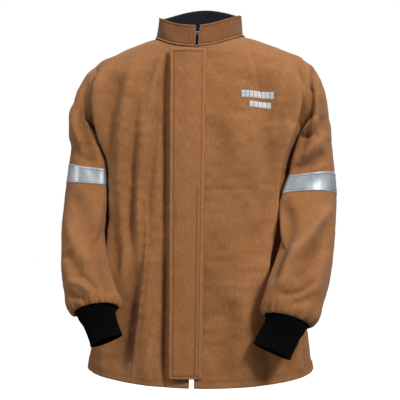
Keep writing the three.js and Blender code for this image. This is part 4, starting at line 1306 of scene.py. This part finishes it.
def flap_shift(points, normals, across, along):
    """The flap's own waves, its free edge's curl and the dips along its stitching."""
    height = points[:, 2] / MM + SIDE_NECK
    width = flap_width(height)
    from_free = (1 - across) * width
    from_sewn = across * width
    spot = np.stack((points[:, 0] / MM, height), 1)
    wave = 1.5 * lattice_noise(spot * (1, 0.5), 60, 41) + 0.9 * lattice_noise(spot, 26, 43)
    wave = wave * smooth_step(0, 30, from_sewn) + 0.3 * lattice_noise(spot, 9, 44)
    curl = 1.6 * np.sin(height / 46) * smooth_step(34, 0, from_free) * smooth_step(800, 700, height)
    dips = -0.9 * np.exp(-(((from_free - 8) / 1.6) ** 2))
    dips = dips - 0.7 * np.exp(-(((from_sewn - 3) / 1.5) ** 2))
    dips = dips - 0.8 * np.exp(-(((from_sewn - 12) / 1.6) ** 2)) * smooth_step(480, 455, height)
    dips = dips - 0.8 * np.exp(-(((FLAP_TOP - height - 8) / 1.7) ** 2))
    dips = dips - 0.8 * np.exp(-(((height - FLAP_LOW - 7) / 1.7) ** 2))
    edge = 0.7 * np.exp(-((from_free / 3) ** 2))
    return (wave + curl + dips + edge) * MM


def flap_seams(points, across, along):
    """Where the flap is stitched, from 0 to 1."""
    height = FLAP_LOW + (FLAP_TOP - FLAP_LOW) * along
    width = flap_width(height)
    from_free = (1 - across) * width
    from_sewn = across * width
    inside = (from_free > 7) & (height > FLAP_LOW + 6) & (height < FLAP_TOP - 7)
    lines = line_mask(from_free - 8) * (height > FLAP_LOW + 6) * (height < FLAP_TOP - 7)
    lines = np.maximum(lines, line_mask(FLAP_TOP - height - 8) * (from_free > 7))
    lines = np.maximum(lines, line_mask(height - FLAP_LOW - 7) * (from_free > 7))
    lines = np.maximum(lines, line_mask(from_sewn - 3))
    lines = np.maximum(lines, line_mask(from_sewn - 12) * smooth_step(480, 462, height) * inside)
    patch = FLAP_TOP - 405
    beside = (np.abs(height - patch) < 31) & (from_free < 16)
    lines = np.maximum(lines, 0.7 * line_mask(from_free - 14.5) * beside)
    across_patch = (np.abs(np.abs(height - patch) - 31) < 4) & (from_free < 15)
    lines = np.maximum(lines, 0.7 * line_mask(np.abs(height - patch) - 31) * across_patch)
    return lines


flap = cloth_piece(
    "storm_flap_cloth", 44, 330, flap_surface(5.0, 13.5, 0.0), (0.081, 0.788), flap_shift,
    flip=True, seams=flap_seams,
)
thicken(flap, 2.6)
finish_piece(flap, "storm_flap", flap_duck, "tan_cloth", "storm_flap")
flap_back = cloth_piece(
    "flap_facing_cloth", 24, 180, flap_surface(1.8, 9.8, 2.0), (0.079, 0.784),
    lambda p, n, a, b: flap_shift(p, n, a, b), flip=True,
)
thicken(flap_back, 1.2)
finish_piece(flap_back, "storm_flap", flap_duck, "tan_cloth", "flap_facing")


def seam_fold_surface(across, along):
    """The folded cloth between the front and the flap's sewn edge."""
    height = FLAP_LOW + 0.5 + (FLAP_TOP - FLAP_LOW - 1) * along
    x = FLAP_SEWN + 4.5 - 7.5 * across
    lift = 0.7 + 4.6 * smooth_step(0.1, 0.9, across)
    return front_normal_point(x, height, lift)


seam_fold = cloth_piece("flap_seam_fold", 8, 200, seam_fold_surface, (0.010, 0.788), None, flip=True)
thicken(seam_fold, 1.0)
finish_piece(seam_fold, None, flap_duck, "tan_cloth")
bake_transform(seam_fold)


# ---- fastening strips, print, label, hanger loop, inside pocket ----
def patch_surface(from_x, to_x, low, high, lift):
    def surface(across, along):
        x = from_x + (to_x - from_x) * across
        height = low + (high - low) * along
        return front_normal_point(x, height, np.full_like(x, lift))

    return surface


for number, drop in enumerate((120, 290, 405, 620), 1):
    middle = FLAP_TOP - drop
    free = FLAP_SEWN - float(flap_width(middle))
    for kind, lift, material in (("hook", 6.4, hook_fuzz), ("loop", 1.4, loop_fuzz)):
        strip = cloth_piece(
            f"{kind}_strip_{number}_pile", 10, 34,
            patch_surface(free + 10, free + 26, middle - 31, middle + 31, lift), (0.016, 0.062), None,
        )
        thicken(strip, 1.1 if kind == "hook" else 0.9)
        owner = "storm_flap" if kind == "hook" else "root"
        finish_piece(strip, owner, material, "hook_and_loop", f"{kind}_strip_{number}")

PRINT_LINES = (("chest_print_upper", 115, 193, 687, 704, 8), ("chest_print_lower", 135, 187, 663, 678, 5))


def print_piece(name, from_x, to_x, low, high, blocks):
    """A row of plain rectangular blocks of film that follow the cloth."""
    pieces = []
    pitch = (to_x - from_x) / blocks
    for block in range(blocks):
        start = from_x + block * pitch
        slope = 5 * (0.5 - (start - from_x) / (to_x - from_x))
        surface = patch_surface(start + 0.3, start + pitch - 0.7, low + slope, high + slope, 0.55)
        tile = cloth_piece(
            f"{name}_{block}", 6, 8, surface, (0.008, 0.012), lambda p, n, a, b: cloth_shift(p, n), flip=False
        )
        pieces.append(tile)
    joined = join_pieces(name + "_film", pieces)
    return joined


def join_pieces(name, pieces):
    """Several pieces as one mesh."""
    bm = bmesh.new()
    for piece in pieces:
        bm.from_mesh(piece.data)
        data = piece.data
        bpy.data.objects.remove(piece)
        bpy.data.meshes.remove(data)
    mesh = bpy.data.meshes.new(name)
    bm.to_mesh(mesh)
    bm.free()
    joined = bpy.data.objects.new(name, mesh)
    bpy.context.scene.collection.objects.link(joined)
    return joined


for name, from_x, to_x, low, high, blocks in PRINT_LINES:
    film = print_piece(name, from_x, to_x, low, high, blocks)
    thicken(film, 0.35)
    finish_piece(film, "root", chest_film, "chest_print", name)


def loop_surface(across, along):
    """A short strap that hangs in a shallow curve inside the back of the neck."""
    x = 30 * (2 * along - 1)
    sag = -13 * (1 - (2 * along - 1) ** 2)
    bow = 1.2 * np.cos(math.pi * (along - 0.5))
    y = 70 - 9.4 - 0.6 * np.abs(2 * along - 1) - 7 * across - bow * 0.3
    z = BACK_NECK - 6 + sag
    return np.stack((x, y, z - SIDE_NECK), 1) * MM


hanger = cloth_piece("hanger_loop_strap", 8, 48, loop_surface, (0.007, 0.068), None)
thicken(hanger, 1.4)
finish_piece(hanger, "root", tape_black, "black_tape", "hanger_loop")


def back_patch(half_width, low, high, depth):
    def surface(across, along):
        level = low + (high - low) * along
        half_turn = half_width / spline(RINGS, level)[:, 3]
        turn = 2 * QUARTER + half_turn * (2 * across - 1)
        around = body_point(turn + 0.01, level) - body_point(turn - 0.01, level)
        up = body_point(turn, level + 0.01) - body_point(turn, level - 0.01)
        normal = np.cross(around, up)
        normal /= np.linalg.norm(normal, axis=1, keepdims=True)
        return body_point(turn, level) - normal * depth * MM

    return surface


label = cloth_piece(
    "neck_label_cloth", 40, 24, back_patch(30, TOP_RING - 2.95, TOP_RING - 1.85, 9.6), (0.06, 0.034)
)
thicken(label, 0.7)
finish_piece(label, "root", label_cloth, "label_cloth", "neck_label")
pocket_surface = patch_surface(66, 172, 205, 430, -13.0)
pocket = cloth_piece(
    "inside_pocket_cloth", 40, 80, pocket_surface, (0.106, 0.225),
    lambda p, n, a, b: np.minimum(cloth_shift(p, n), 0) * 1.15,
)
thicken(pocket, 1.4)
finish_piece(pocket, "root", liner_duck, "liner_cloth", "inside_pocket")


# ---- zip ----
def zip_piece(name, make, count, pitch, place, material, slot, body, *nodes):
    """One small shape repeated along the closure."""
    template = make()
    template.verts.ensure_lookup_table()
    shape = np.array([v.co for v in template.verts])
    bm = bmesh.new()
    for number in range(count):
        spot, tilt = place(number * pitch)
        copy = template.copy()
        for vert, co in zip(copy.verts, shape):
            vert.co = Vector(spot) + tilt @ Vector(co)
        scrap = bpy.data.meshes.new("scrap")
        copy.to_mesh(scrap)
        copy.free()
        bm.from_mesh(scrap)
        bpy.data.meshes.remove(scrap)
    template.free()
    mesh = bpy.data.meshes.new(name)
    bm.to_mesh(mesh)
    bm.free()
    piece = bpy.data.objects.new(name, mesh)
    bpy.context.scene.collection.objects.link(piece)
    return finish_piece(piece, body, material, slot, *nodes)


def closure_frame(height):
    """The closure's point at a height and its lean."""
    low = front_normal_point(np.array([CLOSURE_X]), np.array([height]), np.array([0.0]))[0]
    high = front_normal_point(np.array([CLOSURE_X]), np.array([height + 4]), np.array([0.0]))[0]
    return low, Vector(high - low).normalized()


ZIP_LOW = 40.0


def tooth():
    """A zip tooth: a short bar with bevelled edges that meets the middle line."""
    bm = bmesh.new()
    bmesh.ops.create_cube(bm, size=1)
    bmesh.ops.scale(bm, vec=(2.3 * MM, 2.2 * MM, 1.25 * MM), verts=bm.verts)
    bmesh.ops.bevel(
        bm, geom=bm.edges[:], offset=0.25 * MM, segments=1, profile=0.5, affect="EDGES", material=-1
    )
    return bm


for name, side in SIDES:

    def tooth_place(run, side=side):
        point, up = closure_frame(ZIP_LOW + run + (1.2 if side > 0 else 0))
        spot = Vector(point) + Vector((side * 1.45 * MM, 0, 0)) + Vector((0, 1, 0)) * 1.9 * MM
        return spot, Vector((0, 0, 1)).rotation_difference(up).to_matrix()

    zip_piece(
        "zip_teeth_" + name + "_row",
        tooth,
        314,
        2.4,
        tooth_place,
        brass,
        "brass",
        "root",
        "zip_teeth_" + name,
    )
    tape = cloth_piece(
        "zip_tape_" + name + "_weave", 8, 160,
        patch_surface(CLOSURE_X + side * 0.4, CLOSURE_X + side * 15, 22, 804, -3.4), (0.015, 0.78), None,
        flip=side < 0,
    )
    thicken(tape, 0.9)
    finish_piece(tape, "root", tape_black, "black_tape", "zip_tape_" + name)

for node_name in (
    "zip_top_stop_right",
    "zip_top_stop_left",
    "zip_insertion_pin",
    "zip_retainer_box",
    "zip_slider",
    "zip_pull_tab",
):
    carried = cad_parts[node_name]
    carried.data.materials.clear()
    carried.data.materials.append(brass)
    edge_round = carried.modifiers.new("soft_edges", "BEVEL")
    edge_round.width = 0.25 * MM
    edge_round.segments = 2
    edge_round.limit_method = "ANGLE"
    edge_round.angle_limit = math.radians(40)


# ---- stitching ----
def stitch_template():
    """One stitch: a short spindle of thread."""
    bm = bmesh.new()
    bmesh.ops.create_uvsphere(bm, u_segments=6, v_segments=4, radius=0.5)
    bmesh.ops.scale(bm, vec=(0.85 * MM, 0.75 * MM, 3.1 * MM), verts=bm.verts)
    return bm


def stitch_row(name, line, out, body, material, slot="tan_cloth", pitch=3.8):
    """Stitches along a line of points, each lying in the cloth.
    out is the way out of the cloth at each point."""
    steps = np.linalg.norm(np.diff(line, axis=0), axis=1)
    runs = np.concatenate(([0], np.cumsum(steps)))
    count = int(runs[-1] / (pitch * MM))
    template = stitch_template()
    mesh = bpy.data.meshes.new(name)
    template.to_mesh(mesh)
    template.free()
    shape = np.zeros(len(mesh.vertices) * 3)
    mesh.vertices.foreach_get("co", shape)
    shape = shape.reshape(-1, 3)
    bm = bmesh.new()
    for _ in range(count):
        bm.from_mesh(mesh)
    bpy.data.meshes.remove(mesh)
    mesh = bpy.data.meshes.new(name)
    for face in bm.faces:
        face.smooth = True
    bm.to_mesh(mesh)
    bm.free()
    at = (np.arange(count) + 0.5) * pitch * MM
    spots = np.stack([np.interp(at, runs, line[:, k]) for k in range(3)], 1)
    ahead = np.stack([np.interp(at + 0.0005, runs, line[:, k]) for k in range(3)], 1)
    ways = np.stack([np.interp(at, runs, out[:, k]) for k in range(3)], 1)
    ways /= np.linalg.norm(ways, axis=1, keepdims=True)
    along = ahead - spots
    along /= np.maximum(np.linalg.norm(along, axis=1, keepdims=True), 1e-9)
    across = np.cross(ways, along)
    spots = spots + ways * 0.15 * MM
    co = (
        spots[:, None, :]
        + shape[None, :, 0:1] * across[:, None, :]
        + shape[None, :, 1:2] * ways[:, None, :]
        + shape[None, :, 2:3] * along[:, None, :]
    )
    mesh.vertices.foreach_set("co", co.ravel())
    mesh.update()
    piece = bpy.data.objects.new(name, mesh)
    bpy.context.scene.collection.objects.link(piece)
    return finish_piece(piece, body, material, slot)


def surface_line(surface, shift, across, along, extra=0.0, flip=False):
    """A line on a piece's outer face with the way out along it. across and along are arrays of shares."""
    tiny = 0.002
    point = surface(across, along)
    right = surface(np.clip(across + tiny, 0, 1), along) - surface(np.clip(across - tiny, 0, 1), along)
    up = surface(across, np.clip(along + tiny, 0, 1)) - surface(across, np.clip(along - tiny, 0, 1))
    normal = np.cross(right, up) * (-1 if flip else 1)
    normal /= np.linalg.norm(normal, axis=1, keepdims=True)
    moved = shift(point, normal, across, along) if shift else np.zeros(len(point))
    return point + normal * (moved + extra * MM)[:, None], normal


def run(a, b, count=260):
    return np.linspace(a, b, count)


flap_face = flap_surface(5.0, 13.5, 0.0)


def flap_stitches(name, from_across, from_height, to_across, to_height, from_free=True):
    """Stitches on the flap between two places: millimetres in from an edge, and a height."""
    height = run(from_height, to_height, 200)
    distance = run(from_across, to_across, 200)
    width = flap_width(height)
    across = 1 - distance / width if from_free else distance / width
    along = (height - FLAP_LOW) / (FLAP_TOP - FLAP_LOW)
    line, out = surface_line(flap_face, flap_shift, across, along, flip=True)
    return stitch_row(name, line, out, "storm_flap", tan_thread)


flap_stitches("flap_free_edge_stitches", 8, FLAP_LOW + 7, 8, FLAP_TOP - 8)
flap_stitches("flap_top_stitches", 8, FLAP_TOP - 8, 79, FLAP_TOP - 8)
flap_stitches("flap_low_stitches", 8, FLAP_LOW + 7, 68, FLAP_LOW + 7)
flap_stitches("flap_sewn_stitches", 3, FLAP_LOW + 4, 3, FLAP_TOP - 4, False)
flap_stitches("flap_second_stitches", 12, FLAP_LOW + 7, 12, 466, False)
for number, drop in enumerate((120, 290, 405, 620), 1):
    middle = FLAP_TOP - drop
    if number != 3:
        continue
    flap_stitches(f"flap_patch_{number}_side_stitches", 14.5, middle - 31, 14.5, middle + 31)
    flap_stitches(f"flap_patch_{number}_low_stitches", 3, middle - 31, 14.5, middle - 31)
    flap_stitches(f"flap_patch_{number}_top_stitches", 3, middle + 31, 14.5, middle + 31)


def collar_face(across, along):
    return collar_point(across, along, 0)[0]


def collar_stitches(name, across, along):
    line, out = surface_line(collar_face, collar_shift, across, along)
    return stitch_row(name, line, out, "root", tan_thread, "collar_cloth")


end_share = 5.5 / 640
collar_stitches("collar_top_stitches", run(end_share, 1 - end_share, 900), np.full(900, 48.5 / 54))
collar_stitches("collar_foot_stitches", run(end_share, 1 - end_share, 900), np.full(900, 5.5 / 54 + 0.03))
collar_stitches("collar_left_end_stitches", np.full(60, end_share), run(0.13, 48.5 / 54, 60))
collar_stitches("collar_right_end_stitches", np.full(60, 1 - end_share), run(0.13, 48.5 / 54, 60))


def hem_line(turn_from, turn_to, rise, count=700):
    """A line round the body at a rise above the hem's edge, on the outer face."""
    turn = run(turn_from, turn_to, count)
    level = np.full(count, rise / 38.0)
    point = body_point(turn, level)
    around = body_point(turn + 0.01, level) - body_point(turn - 0.01, level)
    up = body_point(turn, level + 0.02) - body_point(turn, level - 0.02)
    normal = np.cross(around, up)
    normal /= np.linalg.norm(normal, axis=1, keepdims=True)
    return point + normal * cloth_shift(point, normal)[:, None], normal


front_edge = turn_at(np.array([CLOSURE_X + 8.0]), np.array([0.5]))[0]
right_edge = turn_at(np.array([CLOSURE_X - 8.0]), np.array([0.5]))[0]
line, out = hem_line(front_edge, QUARTER, 18)
stitch_row("left_hem_stitches", line, out, "root", tan_thread)
line, out = hem_line(-QUARTER, right_edge, 18)
stitch_row("right_hem_stitches", line, out, "root", tan_thread)
line, out = hem_line(QUARTER, 3 * QUARTER, 18)
stitch_row("back_hem_stitches", line, out, "root", tan_thread)


for name, side in SIDES:
    for label_name, along in (("upper", 0.12), ("lower", 0.88)):
        band_from, band_to = BANDS[side]
        levels = np.full(400, band_from + (band_to - band_from) * along)
        turn = run(0, 4 * QUARTER, 400)
        point = sleeve_point(side, turn, levels)
        before = sleeve_point(side, turn - 0.01, levels)
        after = sleeve_point(side, turn + 0.01, levels)
        lower = sleeve_point(side, turn, levels + 0.02)
        normal = np.cross(after - before, lower - point)
        normal *= -side
        normal /= np.linalg.norm(normal, axis=1, keepdims=True)
        centre = point.mean(0)
        if ((point - centre) * normal).sum() < 0:
            normal = -normal
        moved = sleeve_shift(side, point, normal, levels, turn) + 0.0011
        stitch_row(
            f"{name}_band_{label_name}_stitches", point + normal * moved[:, None], normal, name + "_sleeve",
            black_thread, "reflective_tape",
        )


# ---- floor, light and camera ----
SKY_ON_CLOTH = 0.22
SKY_SEEN = 1.0


def floor_and_light():
    """A pale floor under the hanging coat, a pale surround and soft studio lamps."""
    bm = bmesh.new()
    bmesh.ops.create_grid(bm, x_segments=1, y_segments=1, size=12)
    mesh = bpy.data.meshes.new("floor")
    bm.to_mesh(mesh)
    bm.free()
    mesh.transform(Matrix.Translation((0, 0, -1.9)))
    floor = bpy.data.objects.new("floor", mesh)
    bpy.context.scene.collection.objects.link(floor)
    material, board, shader = start_material("pale_floor", Roughness=0.9)
    shade = board.noise(surface_vector(board, False), 2.0, 2.0, 0.5)
    colour = board.mix(board.spread(shade, 0.3, 0.7), (0.90, 0.90, 0.90, 1), (0.93, 0.93, 0.93, 1))
    board.tree.links.new(colour, shader.inputs["Base Color"])
    board.tree.links.new(colour, shader.inputs["Emission Color"])
    shader.inputs["Emission Strength"].default_value = 1.0
    floor.data.materials.append(material)
    floor.visible_diffuse = False
    floor.visible_glossy = False
    world = bpy.data.worlds.new("studio")
    world.use_nodes = True
    bpy.context.scene.world = world
    background = world.node_tree.nodes["Background"]
    background.inputs[0].default_value = (1, 1, 1, 1)
    seen = world.node_tree.nodes.new("ShaderNodeLightPath").outputs["Is Camera Ray"]
    strength = Board(world.node_tree).spread(seen, 0.0, 1.0, SKY_ON_CLOTH, SKY_SEEN)
    world.node_tree.links.new(strength, background.inputs[1])
    bpy.context.scene.view_settings.view_transform = "Standard"
    lamps = (
        ("key", (1.9, -2.0, 1.6), 0.7, 100),
        ("fill", (-2.2, -1.9, 0.4), 1.2, 22),
        ("top", (-0.1, -0.2, 2.2), 1.2, 20),
        ("rim", (0.4, 2.4, 0.9), 2.0, 24),
    )
    for name, place, size, power in lamps:
        lamp = bpy.data.lights.new(name, "AREA")
        lamp.size = size
        lamp.energy = power
        holder = bpy.data.objects.new(name, lamp)
        holder.location = place
        aim = Vector((0, 0, -0.4)) - Vector(place)
        holder.rotation_euler = aim.to_track_quat("-Z", "Y").to_euler()
        bpy.context.scene.collection.objects.link(holder)


def place_camera():
    """In front, a little to the wearer's left, level with the coat's middle."""
    azimuth = math.radians(8)
    distance = 2.2
    target = Vector((0, 0, -0.410))
    camera = bpy.data.cameras.new("camera")
    camera.lens = 77.9
    camera.sensor_width = 36
    holder = bpy.data.objects.new("camera", camera)
    holder.location = target + Vector((math.sin(azimuth), -math.cos(azimuth), 0)) * distance
    holder.rotation_euler = (target - holder.location).to_track_quat("-Z", "Y").to_euler()
    bpy.context.scene.collection.objects.link(holder)
    bpy.context.scene.camera = holder


floor_and_light()
place_camera()
